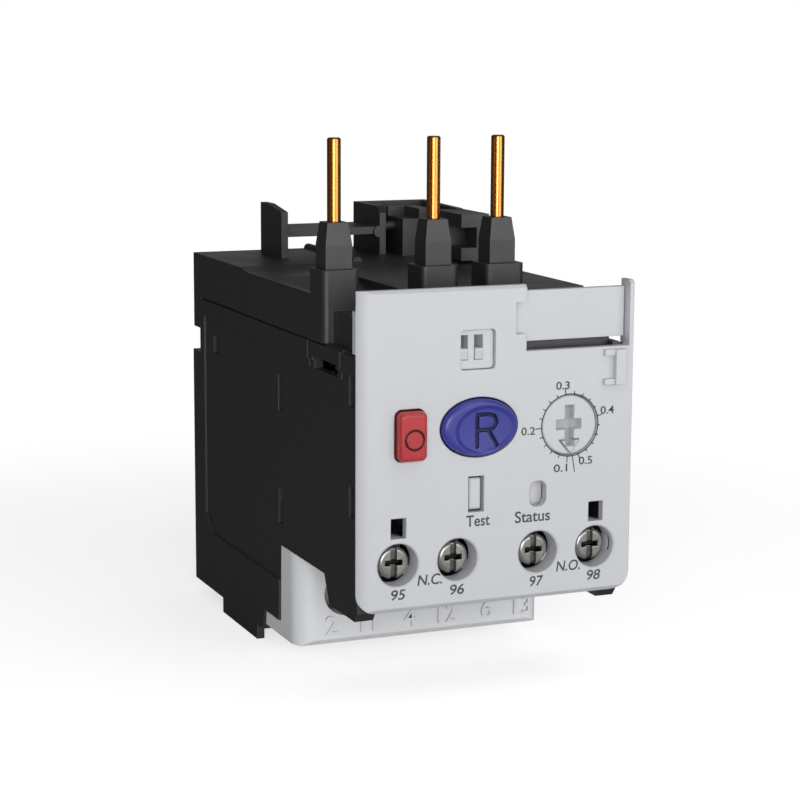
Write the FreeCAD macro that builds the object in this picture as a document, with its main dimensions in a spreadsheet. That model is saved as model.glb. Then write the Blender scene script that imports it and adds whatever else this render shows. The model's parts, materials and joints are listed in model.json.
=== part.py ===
# Electronic overload relay for mounting under a 45 mm contactor, in millimetres.
# The origin is on the back face, on the centre line of the 44 mm wide housing, level with
# the lower edge of the front cover. X is to the right seen from the front, Y is to the back
# and Z is up, so the front cover lies at about Y = -80 and the three line pins stand up.
import FreeCAD, Part
import math
import os
import re
import Sketcher

vector = FreeCAD.Vector

doc = FreeCAD.newDocument("overload_relay")
sheet = doc.addObject("Spreadsheet::Sheet", "Sizes")

SIZES = (
    # The housing's envelope. Setbacks are measured from the seat of the front cover.
    ("body_width", 44.0), ("body_depth", 78.7), ("wall", 1.8), ("belly", 13.1), ("base_top", 38.7),
    ("deck_top", 45.7), ("frame_top", 46.2), ("bonnet_top", 43.6), ("frame_setback", 53.4),
    ("deck_setback", 13.3), ("bonnet_setback", 1.5), ("bonnet_inset", 1.65), ("bonnet_hang", 3.0),
    ("bonnet_wall_thick", 1.2), ("groove_depth", 4.1), ("groove_low", 28.95), ("groove_high", 33.1),
    ("ceiling_drop", 4.9), ("foot_drop", 1.45), ("foot_length", 11.6), ("foot_slope", 2.2),
    ("foot_bevel", 1.1), ("foot_width", 3.3), ("front_floor", 1.9), ("front_floor_skin", 1.5),
    ("mid_floor", 3.0), ("mid_floor_skin", 1.8), ("side_step", 0.35), ("step_setback", 72.4),
    ("step_bevel", 3.3), ("step_top", 35.6), ("seam", 0.3), ("tongue_front", 5.5),
    ("tongue_back", 19.3), ("tongue_slit", 0.9), ("tongue_low", 34.35), ("catch_front", 8.0),
    ("catch_back", 17.9), ("catch_high", 36.3), ("peep_front", 65.2), ("peep_back", 67.9),
    ("peep_low", 29.8), ("peep_high", 32.8), ("crease_setback", 49.4), ("crease_depth", 0.2),
    ("crease_drop", 0.35), ("heel_setback", 33.5), ("heel_drop", 9.6), ("heel_step", 7.0),
    ("bay_setback", 48.2), ("slot_width", 1.9), ("slot_height", 4.8), ("rear_slot_height", 5.9),
    ("front_slot_setback", 2.4), ("rear_slot_setback", 33.6), ("low_slot", 9.5), ("high_slot", 27.9),
    ("low_front_slot", 16.5), ("high_front_slot", 33.2), ("rib_drop", 2.6), ("rib_width", 1.3),
    ("rib_length", 18.3), ("board_ledge", 1.4), ("ledge_height", 2.0), ("heel_slant", 0.4),
    ("heel_run", 1.0), ("step_low", 0.5), ("outer_rib_back", 15.7), ("inner_rib_back", 12.0),
    ("frame_slope", 4.2), ("ceiling_slope", 4.0), ("guide_back", 0.2), ("guide_rise", 0.6),
    # Front cover.
    ("cover_overhang", 1.0), ("cover_height", 48.2), ("cover_thick", 1.4), ("cover_bevel", 0.5),
    ("edge_round", 3.0), ("corner_round", 3.0), ("label_left", 4.9), ("label_floor", 38.2),
    ("flange_thick", 0.7), ("flange_depth", 1.5), ("notch_depth", 1.7), ("notch_low", 40.8),
    ("notch_high", 45.6), ("tab_low", 38.9), ("tab_high", 45.2), ("tab_depth", 1.2),
    ("loop_width", 3.5), ("loop_height", 5.4), ("loop_bar_width", 1.8), ("loop_stand", 1.1),
    ("loop_edge", 1.6), ("loop_floor", 32.4), ("loop_wall", 0.9), ("collar_wall", 0.8),
    ("collar_depth", 2.0), ("label_bottom", 39.5), ("label_top", 47.1), ("label_thick", 1.2),
    ("label_recess", 1.6), ("label_gap", 0.2), ("bevel", 0.4), ("under_bevel", 0.7),
    # Reset button, stop button, test lever, status window, probe holes.
    ("reset_height", 27.2), ("reset_half_height", 4.35), ("reset_stand", 0.9), ("reset_travel", 2.0),
    ("dish_depth", 0.7), ("reset_stem_radius", 2.2), ("stop_height", 26.7), ("stop_half_height", 3.7),
    ("stop_round", 0.9), ("stop_stand", 1.8), ("stop_travel", 1.8), ("stop_stem_radius", 1.4),
    ("test_middle", -3.1), ("test_height", 17.05), ("test_half_width", 1.05), ("test_half_height", 2.5),
    ("test_travel", 1.5), ("test_stem_radius", 0.7), ("button_gap", 0.25), ("flange_lip", 0.7),
    ("flange_plate", 1.0), ("seat_gap", 0.1), ("running_gap", 0.06), ("window_middle", 7.15),
    ("window_height", 16.3), ("window_half_width", 1.45), ("window_half_height", 2.0),
    ("probe_height", 12.8), ("probe_half_width", 1.25), ("probe_half_height", 1.55),
    ("dish_shift", 0.3),
    # Dial with its potentiometer, and the two-way switch.
    ("dial_height", 26.5), ("dial_thick", 2.6), ("dial_recess", 0.15), ("dial_shaft_radius", 1.5),
    ("cross_width", 1.5), ("cross_length", 6.6), ("cross_reach", 4.4), ("cross_depth", 1.2),
    ("pot_length", 5.0), ("switch_middle", -3.0), ("switch_height", 38.85), ("switch_half_width", 2.75),
    ("switch_half_height", 2.9), ("lever_spacing", 2.44), ("lever_width", 1.3), ("lever_height", 1.7),
    ("lever_travel", 1.9), ("lever_rest", 38.2), ("lever_depth", 3.0), ("switch_round", 0.6),
    ("lever_gap", 0.08), ("window_gap", 0.1), ("arrow_half", 1.9), ("arrow_line", 0.7),
    ("arrow_base", 2.2), ("arrow_tip", 0.2), ("lever_offset", 2.12), ("lever_recess", 0.3),
    # Circuit boards.
    ("board_setback", 9.9), ("board_thick", 1.6), ("board_bottom", 15.7), ("board_top", 41.2),
    ("board_gap", 0.05), ("board_room", 1.4), ("main_board_height", 12.0), ("main_board_setback", 29.4),
    ("conductor_gap", 0.3),
    # Line pins, their sleeves and pedestals, and the conductors down to the load terminals.
    ("pin_radius", 1.05), ("pin_bevel", 0.2), ("conductor_radius", 0.6), ("pin_top", 69.4),
    ("pin_setback", 16.7), ("middle_pin", -2.52), ("right_pin", 8.33), ("conductor_level", 33.0),
    ("conductor_bend", 3.0), ("sleeve_width", 4.3), ("sleeve_depth", 4.3), ("sleeve_shoulder", 53.3),
    ("sleeve_top", 56.75), ("sleeve_taper", 7.5), ("pedestal_top", 49.7), ("pedestal_width", 6.6),
    ("pedestal_depth", 6.3), ("trough_width", 14.0), ("trough_length", 28.0), ("trough_depth", 3.0),
    ("trough_slope", 27.0), ("pedestal_round", 1.0), ("left_pedestal_left", 3.1),
    ("left_pedestal_right", 3.0), ("pedestal_trim", 0.3), ("trough_edge", 1.2),
    # Latch on the top that guides and holds the contactor.
    ("latch_height", 8.4), ("latch_wall", 1.2), ("rail_left", -10.8), ("rail_front", 63.0),
    ("rail_back", 73.9), ("bar_level", 3.65), ("bar_height", 1.33), ("bar_right", 5.9),
    ("frame_left", 7.5), ("frame_back", 75.6), ("hook_front", 48.5), ("hook_depth", 11.0),
    ("hook_slot", 5.0), ("hook_width", 5.2), ("hook_lip", 2.3), ("hook_open", 2.25), ("hook_gap", 3.45),
    ("core_left", 10.65), ("core_front", 60.0), ("core_depth", 7.7), ("core_width", 5.4),
    ("core_height", 6.5), ("core_rim_thick", 0.8), ("latch_pin_radius", 0.85), ("tower_width", 2.3),
    ("tower_height", 8.2), ("roof_rib", 0.83), ("rail_rise", 0.6), ("rail_flat", 4.0),
    ("latch_drop", 0.4), ("bar_inset", 0.4), ("frame_rise", 0.1), ("wall_slope", 1.5),
    ("wall_drop", 1.0), ("frame_inset", 0.6), ("hook_inset", 0.1), ("side_rib_radius", 1.06),
    ("side_rib_length", 6.0), ("latch_pin_back", 1.2), ("latch_pin_level", 5.0),
    ("roof_rib_middle", -0.1), ("roof_rib_start", 0.9),
    # Load terminal block and its clamps.
    ("block_width", 43.3), ("block_setback", 25.7), ("block_drop", 12.2), ("block_round", 3.4),
    ("block_bevel", 0.9), ("block_gap", 0.15), ("load_middle", 0.6), ("load_drop", 3.8),
    ("load_head_thick", 2.4), ("load_head_setback", 28.2), ("load_shank_radius", 2.0),
    ("load_cage_height", 9.0), ("load_cage_wall", 1.4), ("load_travel", 4.0), ("load_tip_room", 1.4),
    ("load_tab_thick", 2.2), ("load_wire_gap", 4.6), ("tab_rise", 7.0), ("load_slot", 1.0),
    ("cage_room", 0.25),
    # Auxiliary terminals and their clamps.
    ("panel_middle", 0.7), ("terminal_height", 7.2), ("aux_head_gap", 0.8), ("aux_room", 0.13),
    ("aux_head_thick", 2.0), ("aux_head_setback", 0.3), ("aux_shank_radius", 1.7),
    ("aux_cage_height", 6.2), ("aux_cage_wall", 1.2), ("aux_travel", 2.6), ("aux_tip_room", 1.6),
    ("aux_tab_thick", 1.0), ("aux_tab_width", 3.2), ("aux_wire_gap", 3.0), ("aux_slot", 0.9),
    ("strap_level", 11.4), ("strap_length", 17.6),
    # Contacts, their carrier and the trip relay that moves it.
    ("stroke", 1.2), ("contact_gap", 0.05), ("contact_pad", 0.6), ("bridge_thick", 0.8),
    ("bridge_depth", 2.4), ("pad_radius", 0.9), ("contact_setback", 16.1), ("leg_width", 1.8),
    ("carrier_bottom", 14.8), ("carrier_height", 2.6), ("carrier_depth", 3.2), ("guide_spread", 5.4),
    ("guide_radius", 1.0), ("arm_bottom", 12.7), ("arm_height", 1.2), ("arm_width", 2.0),
    ("flag_setback", 1.2), ("flag_thick", 0.8), ("flag_low", 12.0), ("flag_high", 18.9),
    ("relay_setback", 19.7), ("relay_depth", 8.0), ("armature_level", 8.6), ("armature_thick", 1.1),
    ("armature_arm", 15.0), ("pivot_offset", 7.0), ("pole_gap", 0.7), ("core_radius", 1.6),
    ("coil_radius", 3.9), ("coil_bottom", 11.4), ("coil_height", 11.6), ("yoke_thick", 1.5),
    ("pad_shift", 0.5), ("bridge_end", 0.6), ("tail_half", 1.6), ("tail_thick", 1.2),
    ("tail_play", 0.08), ("tail_room", 0.3), ("flag_margin", 0.5), ("armature_tip", 0.9),
    ("finger_half", 0.7), ("finger_reach", 2.2),
    # Current transformers round the conductors, and springs.
    ("ring_height", 9.0), ("winding_skin", 0.8), ("wire_radius", 0.25), ("coil_turns", 4.0),
)

# Sizes that follow from the ones above.
FOLLOWS = {
    "cover_width": "body_width + cover_overhang",
    "main_board_length": "body_depth - main_board_setback - groove_depth - wall - board_room",
    "left_pin": "-0.42955 * body_width",
    "reset_middle": "-body_width / 16",
    "reset_half_width": "0.1409 * body_width",
    "stop_middle": "-0.31705 * body_width",
    "stop_half_width": "0.0505 * body_width",
    "dial_middle": "0.28182 * body_width",
    "dial_radius": "0.10341 * body_width",
    "pot_radius": "dial_radius + button_gap",
    "load_pitch": "body_width * 7 / 22",
    "load_cage_width": "load_pitch * 5 / 7",
    "load_tab_width": "0.62 * load_cage_width",
    "wire_window": "0.8 * load_cage_width",
    "driver_radius": "load_pitch * 3.7 / 14",
    "load_head_radius": "load_pitch * 3.3 / 14",
    "aux_cage_width": "body_width * 3 / 22",
    "hole_radius": "aux_cage_width / 2 + cage_room",
    "aux_head_radius": "hole_radius - aux_head_gap",
    "outer_pitch": "body_width / 2 - wall - aux_room - panel_middle - aux_cage_width / 2",
    "inner_pitch": "0.4093 * outer_pitch",
    "ring_radius": "load_pitch * 5.4 / 14",
    "ring_hole": "load_pitch * 2.3 / 14",
    "core_ring_radius": "ring_radius - winding_skin",
    "core_ring_hole": "ring_hole + winding_skin",
    "yoke_gap": "armature_thick / 2 + seat_gap",
}
for row, (alias, value) in enumerate(SIZES, start=1):
    sheet.set(f"A{row}", alias.replace("_", " "))
    sheet.set(f"B{row}", str(value))
    sheet.setAlias(f"B{row}", alias)
doc.recompute()

ALIASES = {alias for alias, _ in SIZES}
AXES = {"x": (0, 1, 0, 90), "y": (1, 0, 0, -90), "z": (0, 0, 1, 0)}
FRONT = "-body_depth"
WORD = r"[A-Za-z_]+"


def spell_out(word):
    """The sizes that a following size is worked out from, or the word itself."""
    return f"({FOLLOWS[word[0]]})" if word[0] in FOLLOWS else word[0]


def point_to_cell(word):
    """The word with the sheet's name before it, where it is an alias."""
    return ("Sizes." if word[0] in ALIASES else "") + word[0]


def link(text):
    """Write out each size that follows from others, then point every alias at its cell of the sheet."""
    text = str(text)
    while any(word in FOLLOWS for word in re.findall(WORD, text)):
        text = re.sub(WORD, spell_out, text)
    return re.sub(WORD, point_to_cell, text)


def bind(item, **values):
    """Bind properties to expressions; x, y and z stand for the placement."""
    for key, text in values.items():
        path = f"Placement.Base.{key}" if key in "xyz" else key
        item.setExpression(path, link(text))
    return item


def box(name, x, y, z, length, width, height):
    """A block from its low corner and its lengths along X, Y and Z."""
    item = doc.addObject("Part::Box", name)
    return bind(item, x=x, y=y, z=z, Length=length, Width=width, Height=height)


def cylinder(name, axis, x, y, z, radius, height):
    """A cylinder that starts at a point and runs along X, Y or Z."""
    item = doc.addObject("Part::Cylinder", name)
    turn = AXES[axis]
    item.Placement = FreeCAD.Placement(vector(), FreeCAD.Rotation(vector(*turn[:3]), turn[3]))
    return bind(item, x=x, y=y, z=z, Radius=radius, Height=height)


def fuse(name, *items):
    """One solid from several."""
    item = doc.addObject("Part::MultiFuse", name)
    item.Shapes = list(items)
    item.Refine = True
    return item


def cut(name, base, *tools):
    """The base with the tools taken away."""
    item = doc.addObject("Part::Cut", name)
    item.Base = base
    item.Tool = tools[0] if len(tools) == 1 else fuse(f"{name}_tools", *tools)
    return item


def body(name):
    """An empty body for sketched features."""
    return doc.addObject("PartDesign::Body", name)


def fix(sketch, geometry, point, x, y, start):
    """Hold one point of a sketch at two expressions, measured from the sketch's origin."""
    for kind, text, value in (("DistanceX", x, start.x), ("DistanceY", y, start.y)):
        index = sketch.addConstraint(Sketcher.Constraint(kind, -1, 1, geometry, point, value))
        sketch.setExpression(f"Constraints[{index}]", link(text))


def lay_on(item, owner, plane):
    """Attach a sketch to one of its body's own origin planes."""
    support = [part for part in owner.Origin.OriginFeatures if part.Role == f"{plane}_Plane"][0]
    item.AttachmentSupport = [(support, "")]
    item.MapMode = "FlatFace"


def sketch(owner, name, plane, loops=(), circles=(), offset="0"):
    """A sketch on one of the body's own planes: closed outlines of straight lines, and circles."""
    item = owner.newObject("Sketcher::SketchObject", name)
    lay_on(item, owner, plane)
    item.setExpression("AttachmentOffset.Base.z", link(offset))
    for points in loops:
        first = item.GeometryCount
        count = len(points)
        starts = [vector(9 * math.cos(2 * math.pi * i / count), 9 * math.sin(2 * math.pi * i / count))
                  for i in range(count)]
        for i in range(count):
            item.addGeometry(Part.LineSegment(starts[i], starts[(i + 1) % count]), False)
        for i in range(count):
            item.addConstraint(Sketcher.Constraint("Coincident", first + i, 2, first + (i + 1) % count, 1))
        for i, (x, y) in enumerate(points):
            fix(item, first + i, 1, x, y, starts[i])
    for x, y, radius in circles:
        centre = vector(1, 1, 0)
        index = item.addGeometry(Part.Circle(centre, vector(0, 0, 1), 1), False)
        fix(item, index, 3, x, y, centre)
        held = item.addConstraint(Sketcher.Constraint("Radius", index, 1))
        item.setExpression(f"Constraints[{held}]", link(radius))
    return item


def rectangle(x, y, half_width, half_height):
    """The four corners of an outline from its centre and half lengths."""
    return ((f"{x} - ({half_width})", f"{y} - ({half_height})"),
            (f"{x} + {half_width}", f"{y} - ({half_height})"),
            (f"{x} + {half_width}", f"{y} + {half_height}"),
            (f"{x} - ({half_width})", f"{y} + {half_height}"))


def span(left, right, low, high):
    """The four corners of an outline from its sides."""
    return ((left, low), (right, low), (right, high), (left, high))


def pad(owner, name, profile, length, middle=False, taper=None):
    """Grow a sketch along its normal, or to both sides of it."""
    item = owner.newObject("PartDesign::Pad", name)
    item.Profile = profile
    item.Midplane = middle
    if taper:
        item.setExpression("TaperAngle", link(taper))
    return bind(item, Length=length)


def pocket(owner, name, profile, length, middle=False, reverse=False):
    """Cut a sketch into the body; an outline that removes nothing is an error."""
    doc.recompute()
    before = owner.Tip.Shape.Volume
    item = owner.newObject("PartDesign::Pocket", name)
    item.Profile = profile
    item.Midplane = middle
    item.Reversed = reverse
    bind(item, Length=length)
    doc.recompute()
    if item.Shape.Volume > before - 1e-6:
        raise RuntimeError(f"{name} removes nothing")
    return item


def edges(shape, test):
    """Names of the edges whose middle point and direction pass a test."""
    names = []
    for index, edge in enumerate(shape.Edges, start=1):
        middle = edge.valueAt((edge.FirstParameter + edge.LastParameter) / 2)
        ends = [vertex.Point for vertex in edge.Vertexes]
        run = ends[-1] - ends[0]
        if test(middle, run):
            names.append(f"Edge{index}")
    return names


def round_edges(owner, name, radius, test, kind="Fillet"):
    """Round or bevel the edges of the body's last feature that pass a test."""
    doc.recompute()
    base = owner.Tip
    item = owner.newObject(f"PartDesign::{kind}", name)
    item.Base = (base, edges(base.Shape, test))
    item.setExpression("Radius" if kind == "Fillet" else "Size", link(radius))
    doc.recompute()
    return item


def size(alias):
    """A driving dimension as a number, for picking edges by their place."""
    return float(getattr(sheet, alias))


# Lower housing: a side profile drawn once, hollowed by a second profile.
base = body("base_housing")
BASE_PROFILE = (
    (FRONT, "base_top"), (FRONT, "0"), (f"{FRONT} + foot_bevel", "-foot_drop"),
    (f"{FRONT} + foot_length", "-foot_drop"), (f"{FRONT} + foot_length + foot_slope", "mid_floor"),
    (f"{FRONT} + heel_setback", "mid_floor"), (f"{FRONT} + heel_setback + heel_slant", "-heel_drop"),
    (f"{FRONT} + heel_setback + heel_slant + heel_step", "-heel_drop"),
    (f"{FRONT} + heel_setback + heel_run + heel_step", "-belly"), ("0", "-belly"), ("0", "groove_low"),
    ("-groove_depth", "groove_low"), ("-groove_depth", "base_top"))
CAVITY_PROFILE = (
    (f"{FRONT} - 1", "base_top + 1"), (f"{FRONT} - 1", "front_floor"),
    (f"{FRONT} + foot_length + foot_slope", "front_floor"),
    (f"{FRONT} + foot_length + foot_slope", "mid_floor + mid_floor_skin"),
    (f"{FRONT} + heel_setback - wall", "mid_floor + mid_floor_skin"),
    (f"{FRONT} + heel_setback - wall", "-belly - 1"), (f"{FRONT} + bay_setback", "-belly - 1"),
    (f"{FRONT} + bay_setback", "-belly + wall"), ("-wall", "-belly + wall"), ("-wall", "groove_low - wall"),
    ("-groove_depth - wall", "groove_low - wall"), ("-groove_depth - wall", "base_top + 1"))
pad(base, "base_block", sketch(base, "base_side", "YZ", [BASE_PROFILE]), "body_width", middle=True)
pocket(base, "base_hollow", sketch(base, "base_inside", "YZ", [CAVITY_PROFILE]), "body_width - 2 * wall",
       middle=True)
UNDERSIDE = ((f"{FRONT} - 1", "-foot_drop - 1"), (f"{FRONT} + foot_length + foot_slope", "-foot_drop - 1"),
             (f"{FRONT} + foot_length + foot_slope", "mid_floor"),
             (f"{FRONT} + foot_length", "front_floor - front_floor_skin"),
             (f"{FRONT} - 1", "front_floor - front_floor_skin"))
pocket(base, "between_feet", sketch(base, "underside", "YZ", [UNDERSIDE]), "body_width - 2 * foot_width",
       middle=True)
AUX_PLACES = ("panel_middle - outer_pitch", "panel_middle - inner_pitch",
              "panel_middle + inner_pitch", "panel_middle + outer_pitch")
LOAD_PLACES = ("load_middle - load_pitch", "load_middle", "load_middle + load_pitch")
AUX_CAGE = f"{FRONT} + aux_head_setback + aux_head_thick + aux_travel + cage_room"
AUX_TAB = f"{AUX_CAGE} + aux_cage_wall + aux_tip_room"
LOAD_CAGE = f"{FRONT} + load_head_setback + load_head_thick + load_travel + cage_room"
LOAD_TAB = f"{LOAD_CAGE} + load_cage_wall + load_tip_room"
WIRE_HOLES = [span(f"{x} - aux_cage_width / 2", f"{x} + aux_cage_width / 2", f"{AUX_TAB} + aux_tab_thick",
                   f"{AUX_TAB} + aux_tab_thick + aux_wire_gap") for x in AUX_PLACES]
pocket(base, "wire_holes", sketch(base, "wire_hole_plan", "XY", WIRE_HOLES, offset="front_floor + 0.1"),
       "front_floor_skin + 0.3")
SIDE_SLOTS = [rectangle(f"{FRONT} + {place}_slot_setback", middle, "slot_width / 2", f"{length} / 2")
              for place, middle, length in (("front", "low_front_slot", "slot_height"),
                                            ("front", "high_front_slot", "slot_height"),
                                            ("rear", "low_slot", "rear_slot_height"),
                                            ("rear", "high_slot", "rear_slot_height"))]
pocket(base, "side_slots", sketch(base, "side_slot_plan", "YZ", SIDE_SLOTS), "body_width + 2", middle=True)
# Left side: a snap tongue between two slits with its catch window, and a small window near the back.
LEFT_OPENINGS = [span(f"{FRONT} + tongue_front", f"{FRONT} + tongue_front + tongue_slit", "tongue_low",
                      "base_top + 1"),
                 span(f"{FRONT} + tongue_back", f"{FRONT} + tongue_back + tongue_slit", "tongue_low",
                      "base_top + 1"),
                 span(f"{FRONT} + catch_front", f"{FRONT} + catch_back", "tongue_low", "catch_high"),
                 span(f"{FRONT} + peep_front", f"{FRONT} + peep_back", "peep_low", "peep_high")]
pocket(base, "left_openings", sketch(base, "left_opening_plan", "YZ", LEFT_OPENINGS,
                                     offset="-body_width / 2 + wall + 0.1"),
       "wall + 1")
STEP_LOOP = ((f"{FRONT} - 1", "step_top"), (f"{FRONT} + step_setback", "step_top"),
             (f"{FRONT} + step_setback", "step_low"),
             (f"{FRONT} + step_setback - step_bevel", "step_low - step_bevel"),
             (f"{FRONT} + heel_setback - 1", "step_low - step_bevel"),
             (f"{FRONT} + heel_setback - 1", "-foot_drop - 1"),
             (f"{FRONT} - 1", "-foot_drop - 1"))
for side, turned in (("left", False), ("right", True)):
    edge = "-body_width / 2 + side_step" if side == "left" else "body_width / 2 - side_step"
    plan = sketch(base, f"{side}_step_plan", "YZ", [STEP_LOOP], offset=edge)
    pocket(base, f"{side}_step", plan, "side_step + 1", reverse=turned)
SEAMS = [span("-body_width / 2 - 1", "-body_width / 2 + side_step + seam", "base_top - seam",
              "base_top + 1"),
         span("body_width / 2 - side_step - seam", "body_width / 2 + 1", "base_top - seam", "base_top + 1")]
pocket(base, "seam_line", sketch(base, "seam_plan", "XZ", SEAMS, offset="body_depth + 1"), "body_depth + 2")
RIBS = [span(x, f"{x} + rib_width", f"-rib_length - {back}", f"-{back}") for x, back in
        (("-body_width / 2", "outer_rib_back"), ("body_width / 2 - rib_width", "outer_rib_back"),
         ("load_middle - load_pitch / 2 - rib_width / 2", "inner_rib_back"),
         ("load_middle + load_pitch / 2 - rib_width / 2", "inner_rib_back"))]
pad(base, "belly_ribs", sketch(base, "rib_plan", "XY", RIBS, offset="-belly - rib_drop"),
    "rib_drop + wall / 2")
LEDGES = [span(f"{side} * (body_width / 2 - wall) - {inner}", f"{side} * (body_width / 2 - wall) + {outer}",
               f"{FRONT} + main_board_setback", f"{FRONT} + main_board_setback + main_board_length")
          for side, inner, outer in ((-1, "wall / 2", "board_ledge"), (1, "board_ledge", "wall / 2"))]
pad(base, "board_ledges", sketch(base, "ledge_plan", "XY", LEDGES,
                                 offset="main_board_height - ledge_height"),
    "ledge_height")
GUIDES = [(f"panel_middle {sign} guide_spread / 2", f"{FRONT} + contact_setback + guide_back",
           "guide_radius")
          for sign in ("-", "+")]
pad(base, "carrier_guides", sketch(base, "guide_plan", "XY", circles=GUIDES,
                                   offset="mid_floor + mid_floor_skin / 2"),
    "carrier_bottom + carrier_height + stroke + guide_rise - mid_floor - mid_floor_skin / 2")

# Upper housing: a long hood with a lower bonnet behind the cover and a leg down the back.
upper = body("upper_housing")
HOOD = ((f"{FRONT} + deck_setback", "base_top"), (f"{FRONT} + deck_setback", "deck_top"),
        (f"{FRONT} + frame_setback - frame_slope", "deck_top"), (f"{FRONT} + frame_setback", "frame_top"),
        ("0", "frame_top"), ("0", "groove_high"), ("-groove_depth", "groove_high"),
        ("-groove_depth", "base_top"))
HOOD_INSIDE = ((f"{FRONT} + deck_setback - 1", "base_top - 1"),
               (f"{FRONT} + deck_setback - 1", "bonnet_top - wall"),
               (f"{FRONT} + deck_setback + wall", "bonnet_top - wall"),
               (f"{FRONT} + deck_setback + wall", "deck_top - ceiling_drop"),
               (f"{FRONT} + frame_setback - ceiling_slope", "deck_top - ceiling_drop"),
               (f"{FRONT} + frame_setback", "frame_top - wall"),
               ("-groove_depth - wall", "frame_top - wall"),
               ("-groove_depth - wall", "base_top - 1"))
pad(upper, "hood", sketch(upper, "hood_side", "YZ", [HOOD]), "body_width", middle=True)
BONNET = span(f"{FRONT} + bonnet_setback", f"{FRONT} + deck_setback + 0.5", "base_top", "bonnet_top")
pad(upper, "bonnet", sketch(upper, "bonnet_side", "YZ", [BONNET]), "body_width - 2 * bonnet_inset",
    middle=True)
pocket(upper, "hood_hollow", sketch(upper, "hood_inside", "YZ", [HOOD_INSIDE]), "body_width - 2 * wall",
       middle=True)
BONNET_INSIDE = span(FRONT, f"{FRONT} + deck_setback", "base_top - 1", "bonnet_top - wall")
pocket(upper, "bonnet_hollow", sketch(upper, "bonnet_inside", "YZ", [BONNET_INSIDE]),
       "body_width - 2 * bonnet_inset - 2 * wall", middle=True)
PIN_PLACES = ("left_pin", "middle_pin", "right_pin")
PEDESTAL_SIDES = (("left_pin", "left_pedestal_left", "left_pedestal_right"),
                  ("middle_pin", "pedestal_width / 2", "pedestal_width / 2 - pedestal_trim"),
                  ("right_pin", "pedestal_width / 2", "pedestal_width / 2"))
PEDESTALS = [span(f"{x} - {left}", f"{x} + {right}", f"{FRONT} + deck_setback",
                  f"{FRONT} + deck_setback + pedestal_depth") for x, left, right in PEDESTAL_SIDES]
pad(upper, "pedestals", sketch(upper, "pedestal_plan", "XY", PEDESTALS, offset="deck_top - 0.5"),
    "pedestal_top - deck_top + 0.5")
TROUGH = ((f"{FRONT} + deck_setback + pedestal_depth", "deck_top + 1"),
          (f"{FRONT} + deck_setback + pedestal_depth", "deck_top - trough_depth"),
          (f"{FRONT} + deck_setback + pedestal_depth + trough_length - trough_slope",
           "deck_top - trough_depth"),
          (f"{FRONT} + deck_setback + pedestal_depth + trough_length + 1", "deck_top + 1"))
pocket(upper, "trough", sketch(upper, "trough_side", "YZ", [TROUGH],
                               offset="-body_width / 2 + trough_edge"),
       "trough_width", reverse=True)
PIN_HOLES = [(x, f"{FRONT} + pin_setback", "conductor_radius + running_gap") for x in PIN_PLACES]
pocket(upper, "pin_holes", sketch(upper, "pin_hole_plan", "XY", circles=PIN_HOLES,
                                  offset="pedestal_top + 1"),
       "pedestal_top + 1 - bonnet_top + ceiling_drop + 2")
LEFT_FRONT = (-size("body_width") / 2, size("deck_setback") - size("body_depth"))
round_edges(upper, "pedestal_rounding", "pedestal_round", lambda point, run: abs(run.x) + abs(run.y) < 0.01
            and point.z > size("deck_top") + 0.1
            and abs(point.x - LEFT_FRONT[0]) + abs(point.y - LEFT_FRONT[1]) > 0.01)
CREASE = ((f"{FRONT} + crease_setback", "base_top - 1"),
          (f"{FRONT} + crease_setback", "deck_top - 5 * crease_drop"),
          (f"{FRONT} + crease_setback - 0.3", "deck_top - 3 * crease_drop"),
          (f"{FRONT} + crease_setback - 1", "deck_top - 1.6 * crease_drop"),
          (f"{FRONT} + crease_setback - 2", "deck_top - crease_drop"),
          (f"{FRONT} + deck_setback + pedestal_depth", "deck_top - crease_drop"),
          (f"{FRONT} + deck_setback + pedestal_depth", "frame_top + 1"), ("1", "frame_top + 1"),
          ("1", "groove_high - 1"), ("-groove_depth - 0.2", "groove_high - 1"),
          ("-groove_depth - 0.2", "base_top - 1"))
pocket(upper, "crease", sketch(upper, "crease_side", "YZ", [CREASE],
                               offset="-body_width / 2 + crease_depth"),
       "crease_depth + 1")
top_rib = cylinder("top_rib", "y", "roof_rib_middle", f"{FRONT} + frame_setback + roof_rib_start",
                   "frame_top", "roof_rib",
                   "body_depth - frame_setback - roof_rib_start")
bonnet_wall = box("bonnet_wall", "label_left - notch_depth", f"{FRONT} + bonnet_setback",
                  "label_bottom - bonnet_hang",
                  "body_width / 2 - wall - board_gap - label_left + notch_depth", "bonnet_wall_thick",
                  "bonnet_top - label_bottom + bonnet_hang")
# The left front edge of the hood and its pedestal are rounded by one cutter.
corner_block = box("left_front_block", "-body_width / 2 - 1", f"{FRONT} + deck_setback - 1", "base_top - 1",
                   "pedestal_round + 1", "pedestal_round + 1", "pedestal_top - base_top + 2")
corner_disc = cylinder("left_front_disc", "z", "-body_width / 2 + pedestal_round",
                       f"{FRONT} + deck_setback + pedestal_round", "base_top - 2", "pedestal_round",
                       "pedestal_top - base_top + 4")
upper_housing = cut("upper_housing_rounded", fuse("upper_housing_whole", upper, top_rib, bonnet_wall),
                    cut("left_front_cut", corner_block, corner_disc))

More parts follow.
